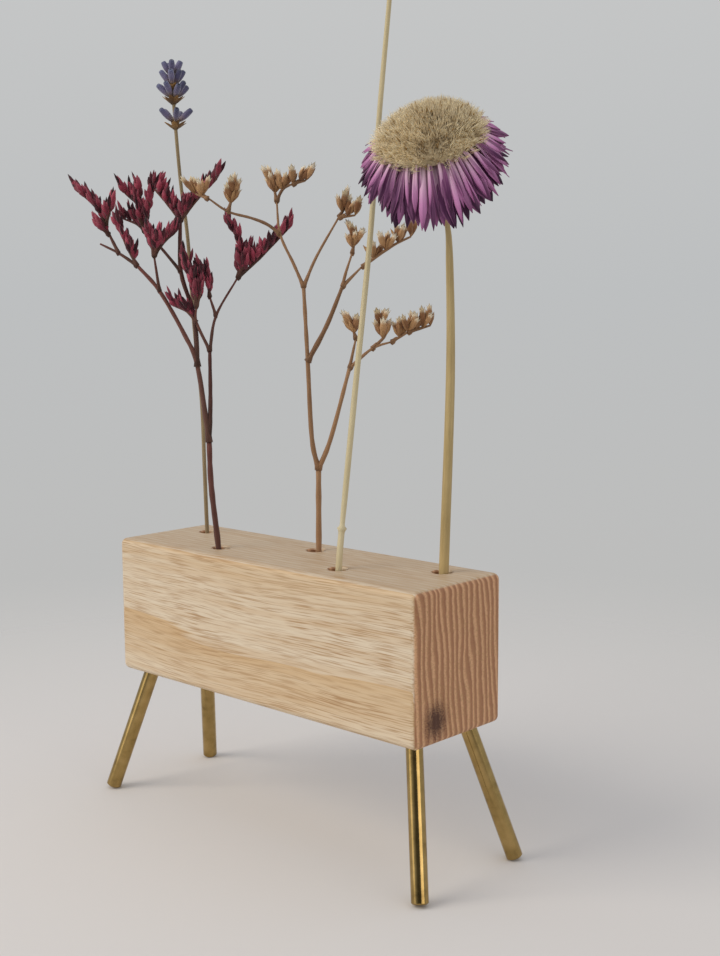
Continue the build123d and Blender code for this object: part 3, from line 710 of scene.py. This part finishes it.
def spikelet_places(hole, rows, bunch=1):
    """Feet and leans of spikelets along each row, in bunches that share a foot and fan out from it.

    Along the row they lean more and more, and they point to the front and to the back in turn.
    """
    feet, leans, spreads = [], [], []
    for points, count, lean in rows:
        number = np.arange(count)
        share = (number // bunch + 1) * bunch / (count + (-count) % bunch)
        feet.append(points_along(curve(at_hole(hole, points), steps=6), share))
        fan = BUNCH_FAN * (number % bunch - (bunch - 1) / 2)
        leans.append(lean + fan + SPIKELET_FAN * (2 * share - 1) * (1 if lean >= 0 else -1))
        spreads.append(SPIKELET_SPREAD * np.where(number % 2, 1, -1))
    return np.concatenate(feet), np.concatenate(leans), np.concatenate(spreads)


def bunched(feet, leans, spreads, parts):
    """Repeats each spikelet's place for its parts, each with more lean, more spread and a lift."""
    more_lean, more_spread, lift = np.transpose(parts)
    count, each = len(feet), len(parts)
    lean_scatter, spread_scatter = chance.normal(0, SPIKELET_SCATTER, (2, count * each))
    lean = np.repeat(leans, each) + np.tile(more_lean, count) + lean_scatter
    spread = np.repeat(spreads, each) + np.tile(more_spread, count) + spread_scatter
    ways = tilted(lean, spread)
    return np.repeat(feet, each, axis=0) + np.tile(lift, count)[:, None] * ways, ways


def red_spikelets():
    """Sharp crimson scales: broad ones at a spikelet's foot and slim ones that stand out of it."""
    parts = np.array(RED_SCALES)
    feet, ways = bunched(*spikelet_places(RED_HOLE, RED_ROWS), parts[:, :3])
    shares, widths, shades = np.tile(parts[:, 3:].T, len(feet) // len(parts))
    lengths = RED_SPIKELET_LENGTH * shares * chance.uniform(0.8, 1.1, len(feet))
    widths = widths * chance.uniform(0.8, 1.15, len(feet))
    # Some scales come out nearly black: partly painted shade for scales turned from the light
    tints = shades + 0.8 * chance.beta(0.6, 0.6, len(feet))
    return [spindles(feet, ways, tints, lengths, widths)]


def brown_calyces():
    """Brown tulips with a cream rim that is drawn out into teeth, each on its spikelet's axis.

    The profile swells to its widest below the middle, narrows to the rim and turns back down inside. The
    teeth lift the rim by a share of the length, by turns much and little.
    """
    feet, ways = bunched(*spikelet_places(BROWN_HOLE, BROWN_ROWS, BROWN_BUNCH), BROWN_CALYX)
    share = np.array([0, 0.2, 0.42, 0.68, 0.86, 0.8, 0.5])
    swell = np.array([0.25, 0.75, 1.0, 0.8, 0.95, 0.6, 0.25])
    lift = np.array([0, 0, 0, 0.02, 0.14, 0.06, 0])
    lengths = BROWN_SPIKELET_LENGTH * chance.uniform(0.75, 1.05, len(feet))
    widths = chance.uniform(1.6, 2.3, len(feet))
    teeth = np.stack([0 * CALYX_TEETH, 0 * CALYX_TEETH, CALYX_TEETH], axis=-1)
    profile = widths[:, None, None, None] / 2 * swell[:, None, None] * circle(len(CALYX_TEETH))
    profile = profile + lengths[:, None, None, None] * lift[:, None, None] * teeth
    return [turned(feet, ways, lengths[:, None] * share, profile, chance.uniform(0, 1, len(feet)))]


def brown_scales():
    """The pointed scales that clasp the brown tulips."""
    feet, ways = bunched(*spikelet_places(BROWN_HOLE, BROWN_ROWS, BROWN_BUNCH), BROWN_SCALES)
    lengths = BROWN_SPIKELET_LENGTH * chance.uniform(0.55, 0.85, len(feet))
    widths = chance.uniform(0.9, 1.4, len(feet))
    return [spindles(feet, ways, chance.uniform(0.1, 1, len(feet)), lengths, widths)]


red_stem = stem_points(RED_HOLE, "red_statice_twigs", STATICE_DIAMETERS[0], RED_LEAN, RED_STEM)
brown_stem = stem_points(BROWN_HOLE, "brown_statice_twigs", STATICE_DIAMETERS[0], BROWN_LEAN, BROWN_STEM)
# Dyed twig: dull, dark red-brown
dress(
    "red_statice_branches", "red_statice", "red_twig",
    dried("red_statice_twig", ("#64453a", "#7c4a40"), ("#38261c", "#482622"), streak=5),
    twigs(RED_HOLE, red_stem, RED_FORKS, RED_TWIGS, RED_ROWS), "red_statice_twigs")
# Dyed scale: crimson, some bright and some nearly black, the nearly black partly painted shade
dress(
    "red_statice_spikelets", "red_statice", "red_floret",
    dried(
        "crimson_scale", ("#8f4a54", "#a83c52", "#c06070"), ("#3a181f", "#330f19", "#1c0a10"),
        places=(0, 0.5, 1), streak=2.5, strands=2.0, sheen=0.2),
    red_spikelets(), "red_statice_florets")
# Dry twig: dull, warm brown
dress(
    "brown_statice_branches", "brown_statice", "brown_twig",
    dried("brown_statice_twig", ("#9c7654", "#a8825e"), ("#6c4e36", "#7a593e"), streak=5),
    twigs(BROWN_HOLE, brown_stem, BROWN_FORKS, BROWN_TWIGS, BROWN_ROWS), "brown_statice_twigs")
# Papery calyx: brown, with a cream rim
dress(
    "brown_statice_calyces", "brown_statice", "brown_floret",
    dried(
        "papery_calyx", ("#b98a5c", "#cba173", "#fbf1d8", "#8a6a45"),
        ("#7d5434", "#8a5e3c", "#dcc9a2", "#5a3d24"), places=(0, 0.45, 0.64, 1), streak=2.5, strands=2.0),
    brown_calyces(), "brown_statice_florets")
# Dry scale: brown, paler at its tip
dress(
    "brown_statice_scales", "brown_statice", "brown_floret",
    dried("brown_scale", ("#b0824f", "#caa273"), ("#70492c", "#8f6541"), streak=2.5),
    brown_scales())


# Straw

STRAW_DIAMETER = 2.0
STRAW_TOP_DIAMETER = 1.3
STRAW_JOINT_HEIGHT = 12.0
STRAW_JOINT_RISE = 0.55
STRAW_JOINT_LENGTH = 0.6
STRAW_WAIST_DEPTH = 0.25
STRAW_WAIST_LENGTH = 6.0
STRAW_LEAN = (0.1, -0.8)
SEED_HEAD_LENGTH = 32.0
SEED_RINGS = 9
SEEDS_IN_RING = 5
SEED_SPREAD = np.radians(24)
HUSK = {"lengths": 6.0, "widths": 1.9, "curl": 0.08}
GRAIN = {"lengths": 4.8, "widths": 1.33}
GRAIN_LIFT = 0.2


def straw_culm(line):
    """A finely ribbed, evenly tapered stalk with one joint: a narrow ring below a stretch that is drawn in.

    The ring is a bell curve of the height, and the stretch above it eases out again exponentially.
    """
    above = line[:, 2] - block_top - STRAW_JOINT_HEIGHT
    radii = np.linspace(STRAW_DIAMETER, STRAW_TOP_DIAMETER, len(line)) / 2
    ring = STRAW_JOINT_RISE * np.exp(-(above / STRAW_JOINT_LENGTH) ** 2)
    waist = STRAW_WAIST_DEPTH * (above > 0) * np.exp(-above / STRAW_WAIST_LENGTH)
    return tube(line, radii + ring - waist, sides=24, ribs=8, depth=0.03)


def straw_seeds(line):
    """Slim pointed husks in rings round the top of the stalk, each ring turned half a husk, with grains."""
    tip = line[-1]
    way = unit(line[-1] - line[-2])
    ring, number = np.divmod(np.arange(SEED_RINGS * SEEDS_IN_RING), SEEDS_IN_RING)
    feet = tip - way * (SEED_HEAD_LENGTH * (1 - ring / SEED_RINGS))[:, None]
    out = outward(2 * np.pi * (number + ring / 2) / SEEDS_IN_RING)
    ways = unit(np.sin(SEED_SPREAD) * out + np.cos(SEED_SPREAD) * way)
    husk_tints = chance.uniform(0, 1, len(feet))
    grain_tints = chance.uniform(0.3, 1, len(feet))
    return [
        scales(feet, ways, out, husk_tints, **HUSK),
        spindles(feet + GRAIN_LIFT * ways, ways, grain_tints, **GRAIN),
    ]


straw_points = stem_points(STRAW_HOLE, "straw_stalk", STRAW_DIAMETER, STRAW_LEAN, STRAW_STEM)
straw_line = curve(straw_points, steps=40)
# Ripe straw: pale and smooth, with a slight gloss
dress(
    "straw_ribbed_culm", "straw", "straw",
    dried(
        "ripe_straw", ("#e0d6b4", "#ddcea4"), ("#c8b98e", "#b9a676"), streak=16, roughness=0.45, sheen=0.0,
        relief=0.03),
    [straw_culm(straw_line)], "straw_stalk")
# Straw husk: dull gold and papery
dress(
    "straw_husks", "straw", "seed_head",
    dried("straw_husk", ("#cdb883", "#dccb9c"), ("#9c8350", "#b79c63"), streak=3),
    straw_seeds(straw_line), "straw_seed_head")


# Strawflower

STRAWFLOWER_STEM_DIAMETER = 2.9
STRAWFLOWER_DIAMETERS = [(0, STRAWFLOWER_STEM_DIAMETER), (56, 2.6), (90, 2.1), (101, 1.4)]  # by height
STRAWFLOWER_LEAN = (0.3, -0.3)
NECK_RUN = (-3.0, 0.5)  # below and into the foot of the cup
HEAD_CENTRE = (-4.5, 10.5, 123)
HEAD_NOD = np.radians(34)
HEAD_ROLL = np.radians(14)
DOME_RADIUS = 14.6
DOME_HEIGHT = 6.3
DOME_RIM = 0.6
DOME_SKEW = 1.4  # how much higher the dome bulges on its right
DOME_UNDERSIDE = [(-1.4, 0.85), (-0.7, 0.97)]  # heights and shares of the radius
CUP_RADIUS = 12.5
CUP_RIM_HEIGHT = 3.0
CUP_DEPTH = 10.0
CUP_FOOT_RADIUS = 2.6
# The cone under the cup's scales: heights and radii
CUP_CONE = [
    (-CUP_DEPTH - 0.6, 0.9), (-CUP_DEPTH, CUP_FOOT_RADIUS), (-6.8, 7.0), (-CUP_RIM_HEIGHT, CUP_RADIUS - 0.8),
    (-0.6, CUP_RADIUS - 1.2),
]
CUP_ROWS = [(18, 9.0, -5.9), (15, 7.0, -7.4), (12, 5.0, -8.8), (9, 3.0, -10.2)]  # scales, radius, height
CUP_SCALE_LENGTH = 5.4
CUP_SCALE_WIDTH = 3.2
CUP_SCALE_BULGE = -0.3
CUP_SCALE_LIFTS = (4.0, -6.0)  # degrees off the cup's slope, at the foot and at the tip
PETAL_WIDTH = 2.4
PETAL_LENGTH = 17.4
PETAL_THICKNESS = 0.22
PETAL_DROOP = 60.0
PETAL_FIRST_DROOP = 0.7  # of the whole droop
PETAL_BEND = 0.35  # of the length
PETAL_BACK_LIFT = 22.0
PETAL_BACK_SHORTENING = 0.45
PETAL_SWAY = 0.8
PETAL_ROLL = 24.0
# Each ring of petals: its number, its turn in petals, the radius and height of its foot, its shares of the
# length and the width, and its shade, darker in the lower rings as painted shade under the upper petals
PETAL_RINGS = {
    "upper": [(34, 0.0, (14.0, 0.4), 0.68, 0.52, -0.25), (42, 0.5, (13.5, -0.2), 0.88, 0.72, -0.05)],
    "lower": [
        (46, 0.0, (13.0, -0.9), 1.0, 1.0, 0.05), (46, 0.5, (12.4, -1.6), 1.02, 1.4, 0.2),
        (46, 0.25, (11.8, -2.3), 1.04, 1.6, 0.45),
    ],
}
GOLDEN_TURN = np.pi * (3 - np.sqrt(5))
WOOL_TUFTS = 320
TUFT_SINK = 0.6
TUFT_RIM_DROP = 0.9
TUFT_RIM_LEAN = 1.6
TUFT_SPREAD = 0.8  # of the distance between tufts
TUFT_TIP_SPREAD = 0.75  # of the spread at its foot
HAIRS_IN_TUFT = 16
HAIR_LENGTH = 2.8
HAIR_WIDTH = 0.26
HAIR_TIP_SCATTER = 0.3
DRY_FLORETS = 60
DRY_FLORET_WIDTH = 0.5
WORN_PLACES = [(-1.6, -11.0), (2.6, -11.0)]  # to the right and back in the head's frame
WORN_RADIUS = 1.2
WORN_SHORTENING = 0.4

head_axis = unit(
    np.cos(HEAD_NOD) * np.cos(HEAD_ROLL) * UP + np.sin(HEAD_NOD) * TO_FRONT
    - np.cos(HEAD_NOD) * np.sin(HEAD_ROLL) * TO_RIGHT)
head_right = unit(TO_RIGHT - (TO_RIGHT @ head_axis) * head_axis)
head_axes = np.stack([head_right, np.cross(head_axis, head_right), head_axis])
head_centre = at_hole(STRAWFLOWER_HOLE, HEAD_CENTRE)


def in_head(points):
    """Points of the head's own frame, (right, back, out of the disc), in the whole object's frame."""
    return head_centre + points @ head_axes


def round_head(turns):
    """Directions in the disc's plane at these turns, in the head's own frame."""
    return np.stack([np.cos(turns), np.sin(turns), 0 * turns], axis=-1)


def petals(turns, foot, lengths, widths, first_droop, last_droop, bend_share, bulge, tint):
    """Narrow petals in the head's frame.

    A petal's line leaves its foot, (radius, height), at first_droop below the disc's plane, and steepens to
    last_droop within bend_share of its length, by 3 s squared - 2 s cubed. It sways by the square of its
    share. The outline is widest at two thirds.
    """
    share = np.linspace(0, 1, 11)
    eased = np.clip(share / bend_share, 0, 1)
    eased = eased ** 2 * (3 - 2 * eased)
    first, last = np.reshape(first_droop, (-1, 1)), np.reshape(last_droop, (-1, 1))
    droop = np.radians(first + (last - first) * eased)
    step = np.reshape(lengths, (-1, 1)) / (len(share) - 1)
    radius = foot[0] + np.cumsum(np.cos(droop) * step, axis=1) - np.cos(droop) * step
    height = foot[1] - np.cumsum(np.sin(droop) * step, axis=1) + np.sin(droop) * step
    out, side = round_head(turns), round_head(turns + np.pi / 2)
    sway = chance.normal(0, PETAL_SWAY, len(turns))[:, None, None] * share[:, None] ** 2 * side[:, None]
    path = radius[..., None] * out[:, None] + height[..., None] * UP + sway
    facing = np.sin(droop)[..., None] * out[:, None] + np.cos(droop)[..., None] * UP
    roll = np.radians(chance.normal(0, PETAL_ROLL, len(turns)))[:, None, None]
    facing = np.cos(roll) * facing + np.sin(roll) * side[:, None]
    outline = np.interp(share, [0, 0.2, 0.5, 0.7, 0.87, 1], [0.6, 0.72, 0.95, 1.0, 0.6, 0.06])
    offsets, across = channel(np.reshape(widths, (-1, 1)) * outline, bulge, PETAL_THICKNESS)
    return sweep(in_head(path), offsets, facing @ head_axes, tint, across=across)


def petal_ring(count, part_turn, foot, length_share, width_share, shade):
    """A ring of petals that hang at the front, and are shorter and lift at the sides and back.

    backward is 0 at the front, nearly 0.9 at the sides and 1 at the back. Each petal is a bit different.
    """
    turns = 2 * np.pi * (np.arange(count) + part_turn) / count + chance.normal(0, 0.03, count)
    backward = 1 - ((1 - np.sin(turns)) / 2) ** 3
    droops = PETAL_DROOP - PETAL_BACK_LIFT * backward + chance.normal(0, 5, count)
    lengths = length_share * PETAL_LENGTH * (1 - PETAL_BACK_SHORTENING * backward)
    lengths = lengths * chance.uniform(0.84, 1.04, count)
    widths = width_share * PETAL_WIDTH * chance.uniform(0.65, 1.15, count)
    bulges = chance.normal(0.2, 0.35, count)[:, None, None]
    # shade darkens the lower rings: painted shade under the upper petals
    tints = shade + chance.beta(0.45, 0.45, count)
    return petals(
        turns, foot, lengths, widths, PETAL_FIRST_DROOP * droops, droops, PETAL_BEND, bulges, tints)


def strawflower_cup():
    """Rows of pointed scales, overlapping like tiles, over a closed cone."""
    skins = [lathed(head_centre, head_axis, CUP_CONE, sides=28, tint=0.7)]
    slope = np.degrees(np.arctan2(CUP_DEPTH - CUP_RIM_HEIGHT, CUP_RADIUS - CUP_FOOT_RADIUS))
    first_droop, last_droop = CUP_SCALE_LIFTS - slope
    for row, (count, *foot) in enumerate(CUP_ROWS):
        turns = 2 * np.pi * (np.arange(count) + row / 2) / count
        tints = chance.uniform(0, 1, count)
        skins.append(petals(
            turns, foot, CUP_SCALE_LENGTH, CUP_SCALE_WIDTH, first_droop, last_droop, 1.0, CUP_SCALE_BULGE,
            tints))
    return skins


def wool_dome():
    """The closed dome under the wool, which rises by 1 - (share of the radius) squared."""
    share = np.sqrt(np.linspace(1, 0, 10))
    dome = np.stack([DOME_RIM + DOME_HEIGHT * (1 - share ** 2), share + 0.001], axis=-1)
    rows = np.concatenate([DOME_UNDERSIDE, dome]) * (1, DOME_RADIUS)
    # tint 0.4 makes the dome a darker brown than most hairs: painted shade under the wool
    return lathed(head_centre, head_axis, rows, sides=48, tint=0.4)


def wool_tufts():
    """The tufts' feet, directions and shares of the dome's radius.

    Tufts lie on a golden-angle spiral, at the dome's radius x root of their share, and stand square to it,
    those at the rim more aslant and a little lower.
    """
    number = np.arange(WOOL_TUFTS)
    reach = np.sqrt((number + 0.5) / WOOL_TUFTS)
    out = round_head(GOLDEN_TURN * number)
    feet = DOME_RADIUS * reach[:, None] * out
    crown = DOME_HEIGHT + DOME_SKEW * feet[:, 0] / DOME_RADIUS
    feet[:, 2] = DOME_RIM + crown * (1 - reach ** 2) - TUFT_SINK - TUFT_RIM_DROP * reach ** 12
    lean = 2 * DOME_HEIGHT / DOME_RADIUS * reach + TUFT_RIM_LEAN * reach ** 10
    ways = unit(lean[:, None] * out + UP + chance.normal(0, 0.12, feet.shape))
    return feet, ways, reach


def strawflower_wool():
    """Tufts of fine hairs over a dome, with slim dry florets between them.

    A tuft's hairs start round its foot and draw together towards its tip. They are short where the wool is
    worn, which fades from each worn place by a bell curve.
    """
    feet, ways, reach = wool_tufts()
    away = feet[:, None, :2] - np.array(WORN_PLACES)
    worn = np.exp(-(away ** 2).sum(axis=-1) / WORN_RADIUS ** 2).sum(axis=-1)
    spread = TUFT_SPREAD * DOME_RADIUS / np.sqrt(WOOL_TUFTS)
    scatter = chance.normal(0, spread, (WOOL_TUFTS, HAIRS_IN_TUFT, 3))
    scatter -= (scatter * ways[:, None]).sum(axis=-1, keepdims=True) * ways[:, None]
    length = HAIR_LENGTH * chance.uniform(0.7, 1.2, scatter.shape[:2])
    length = length * (1 - WORN_SHORTENING * worn[:, None])
    roots = (feet[:, None] + scatter).reshape(-1, 3)
    tips = feet[:, None] + TUFT_TIP_SPREAD * scatter + length[..., None] * ways[:, None]
    tips = (tips + chance.normal(0, HAIR_TIP_SCATTER, scatter.shape)).reshape(-1, 3)
    rows = np.array([0, 0.55, 1.0])
    path = in_head(roots[:, None] + rows[:, None] * (tips - roots)[:, None])
    offsets = HAIR_WIDTH / 2 * np.array([1, 0.75, 0.15])[:, None, None] * circle(3)
    # Hairs near the rim are made paler: painted sheen where the rim catches the light
    tints = 0.6 * chance.beta(0.8, 2.6, WOOL_TUFTS) + worn - 0.3 * reach ** 6
    tints = np.repeat(tints, HAIRS_IN_TUFT) + chance.uniform(0, 0.25, len(roots))
    hairs = sweep(path, offsets[None], head_axes[0] + 0.3 * head_axes[1], np.clip(tints, 0, 1))
    dry = chance.choice(WOOL_TUFTS, DRY_FLORETS, replace=False)
    floret_lengths = HAIR_LENGTH * chance.uniform(0.9, 1.2, DRY_FLORETS)
    floret_tints = chance.uniform(0.9, 1, DRY_FLORETS)
    floret_feet, floret_ways = in_head(feet[dry]), ways[dry] @ head_axes
    florets = spindles(floret_feet, floret_ways, floret_tints, floret_lengths, DRY_FLORET_WIDTH)
    return [wool_dome(), hairs, florets]


strawflower_points = stem_points(
    STRAWFLOWER_HOLE, "strawflower_stem", STRAWFLOWER_STEM_DIAMETER, STRAWFLOWER_LEAN, STRAWFLOWER_STEM)
neck = in_head(np.array([[0, 0, reach - CUP_DEPTH] for reach in NECK_RUN]))
strawflower_line = curve(np.vstack([strawflower_points, neck]), steps=12)
strawflower_radii = np.interp(
    strawflower_line[:, 2] - block_top, *np.transpose(STRAWFLOWER_DIAMETERS)) / 2
# Dry stem: straw-coloured, with long streaks
dress(
    "strawflower_ribbed_stalk", "strawflower", "flower_stem",
    dried("dry_flower_stem", ("#cdb47c", "#dfcb9c"), ("#967f50", "#b09964"), streak=12),
    [tube(strawflower_line, strawflower_radii, sides=24, ribs=9, depth=0.06)], "strawflower_stem")
# Dry cup scale: olive brown, flushed mauve at its tip
dress(
    "strawflower_scaly_cup", "strawflower", "flower_cup",
    dried("dry_cup_scale", ("#94803f", "#a98a72"), ("#5d4c2b", "#7a5a58"), streak=2),
    strawflower_cup(), "strawflower_cup")
# Papery petal: purple, pale at its foot, dark at its tip, with a faint gloss, and paler along its thin
# edges, partly its own colour and partly painted highlight
petal_purple = dried(
    "papery_petal", ("#f4dce4", "#f0c6de", "#d490c2", "#a05a8c"),
    ("#b284a4", "#884a7c", "#562250", "#2e0e2c"), places=(0, 0.25, 0.6, 1), streak=9, strands=2.5,
    roughness=0.55, sheen=0.05, relief=0.15, edge=0.65)
for tier, rings in PETAL_RINGS.items():
    dress(
        f"strawflower_{tier}_rays", "strawflower", "petal", petal_purple,
        [petal_ring(*ring) for ring in rings], f"strawflower_{tier}_petals")
# Wool hair: cream, with a soft sheen, paler at the rim as painted sheen, and brown where it is worn; the
# dome under the hairs is darker brown as painted shade
dress(
    "strawflower_wool", "strawflower", "flower_wool",
    dried("flower_wool_hair", ("#fae6bc", "#fff2ce"), ("#5a4424", "#b08a4a"), streak=3, sheen=0.2),
    strawflower_wool(), "strawflower_disc")


# Studio: a pale floor that fades into a pale surround, and lamps up on the left and low on either side

FLOOR_HALF_WIDTH = 3.0
FLOOR_FADE = (0.05, 0.45)  # metres from the middle
SURROUND_LIGHT = (0.32, 0.8)  # from level to straight above
ROOM_DIMNESS = 0.15
ROOM_EDGE = (0.55, 0.92)  # cosines from the way to the camera where the dim room starts and is full
LAMP_TARGET = Vector((0.0, 0.0, 0.12))
LAMPS = {
    "broad_lamp": {"place": (-0.6, -1.1, 0.95), "width": 0.9, "height": 0.9, "watts": 10.4},
    "left_lamp": {"place": (-0.5, -0.98, 0.12), "width": 0.5, "height": 0.4, "watts": 0.55},
    "right_lamp": {"place": (1.09, -0.15, 0.25), "width": 0.7, "height": 0.42, "watts": 1.7},
}


def lay_floor():
    """A square floor whose colour fades out with distance."""
    corners = FLOOR_HALF_WIDTH * np.array([(-1, -1, 0), (1, -1, 0), (1, 1, 0), (-1, 1, 0)])
    mesh = bpy.data.meshes.new("floor")
    mesh.from_pydata(corners.tolist(), [], [(0, 1, 2, 3)])
    floor = bpy.data.objects.new("floor", mesh)
    bpy.context.scene.collection.objects.link(floor)
    material, add = blank_material("pale_floor")
    place = add("TexCoord")["Object"]
    away = add("VectorMath", {0: place}, operation="LENGTH")["Value"]
    fade = add(
        "MapRange", {"Value": away, "From Min": FLOOR_FADE[0], "From Max": FLOOR_FADE[1]},
        interpolation_type="SMOOTHSTEP")[0]
    matt = add("BsdfDiffuse", {"Color": linear("#dfdcd8")})[0]
    clear = add("BsdfTransparent")[0]
    mixed = add("MixShader", {0: fade, 1: matt, 2: clear})[0]
    add("OutputMaterial", {"Surface": mixed})
    mesh.materials.append(material)


def light_surround():
    """Soft light, strongest from above, and for the eye and for reflections a pale, nearly even grey.

    Reflections also show that the room behind the camera is dim, which streaks the brass.
    """
    world = bpy.data.worlds.new("surround")
    bpy.context.scene.world = world
    world.use_nodes = True
    world.node_tree.nodes.clear()
    add = partial(add_node, world.node_tree)
    way = add("TexCoord")["Generated"]
    rise = add("SeparateXYZ", {0: way})["Z"]
    level = add("MapRange", {"Value": rise, "From Min": -0.5, "From Max": 0.5})[0]
    seen_colour = add("ValToRGB", {0: level}, stops=[
        (0.0, "#cdc9c4"), (0.15, "#c5c3c0"), (0.3, "#bdbdbc"), (0.5, "#bdbfc0"), (0.75, "#c6c7c7"),
    ])[0]
    rays = add("LightPath")
    facing = add("VectorMath", {0: way, 1: tuple(TO_FRONT)}, operation="DOT_PRODUCT")["Value"]
    dim = add("MapRange", {
        "Value": facing, "From Min": ROOM_EDGE[0], "From Max": ROOM_EDGE[1], "To Min": 1.0,
        "To Max": ROOM_DIMNESS,
    })[0]
    strength = add("Mix", {0: rays["Is Glossy Ray"], 2: 1.0, 3: dim}, data_type="FLOAT")[0]
    seen = rays["Is Camera Ray"]
    for kind in ("Is Glossy Ray", "Is Transmission Ray"):
        seen = add("Math", {0: seen, 1: rays[kind]}, operation="MAXIMUM")[0]
    shown = add("Background", {"Color": seen_colour, "Strength": strength})[0]
    glow = add("MapRange", {"Value": rise, "To Min": SURROUND_LIGHT[0], "To Max": SURROUND_LIGHT[1]})[0]
    light = add("Background", {"Color": linear("#f6f8ff"), "Strength": glow})[0]
    mixed = add("MixShader", {0: seen, 1: light, 2: shown})[0]
    add("OutputWorld", {"Surface": mixed})


def hang_lamp(name, place, width, height, watts):
    """A flat lamp that faces the object."""
    lamp = bpy.data.lights.new(name, "AREA")
    lamp.shape = "RECTANGLE"
    lamp.size, lamp.size_y = width, height
    lamp.energy = watts
    lamp.color = linear("#fff6ea")[:3]
    holder = bpy.data.objects.new(name, lamp)
    holder.location = place
    holder.rotation_euler = (Vector(place) - LAMP_TARGET).to_track_quat("Z", "Y").to_euler()
    bpy.context.scene.collection.objects.link(holder)


# Camera: where it stood, the way it looked and its focal length, in a picture 956 pixels high

CAMERA_PLACE = (0.30413, -0.29697, 0.16856)
CAMERA_HEADING, CAMERA_DIP, CAMERA_ROLL = np.radians([43.006, 7.690, -0.312])
CAMERA_SENSOR = 36.0
FOCAL_PIXELS = 1376.31
PICTURE_HEIGHT = 956


def set_camera():
    """A camera that looks straight down, turned to its heading, tipped up to its dip and rolled a little."""
    data = bpy.data.cameras.new("camera")
    data.sensor_width = CAMERA_SENSOR
    data.lens = FOCAL_PIXELS * CAMERA_SENSOR / PICTURE_HEIGHT
    camera = bpy.data.objects.new("camera", data)
    heading = Matrix.Rotation(CAMERA_HEADING, 4, "Z")
    tip = Matrix.Rotation(np.pi / 2 - CAMERA_DIP, 4, "X")
    roll = Matrix.Rotation(CAMERA_ROLL, 4, "Z")
    camera.matrix_world = Matrix.Translation(CAMERA_PLACE) @ heading @ tip @ roll
    bpy.context.scene.collection.objects.link(camera)
    bpy.context.scene.camera = camera


lay_floor()
light_surround()
for lamp_name, lamp in LAMPS.items():
    hang_lamp(lamp_name, **lamp)
set_camera()
bpy.context.scene.view_settings.view_transform = "Standard"
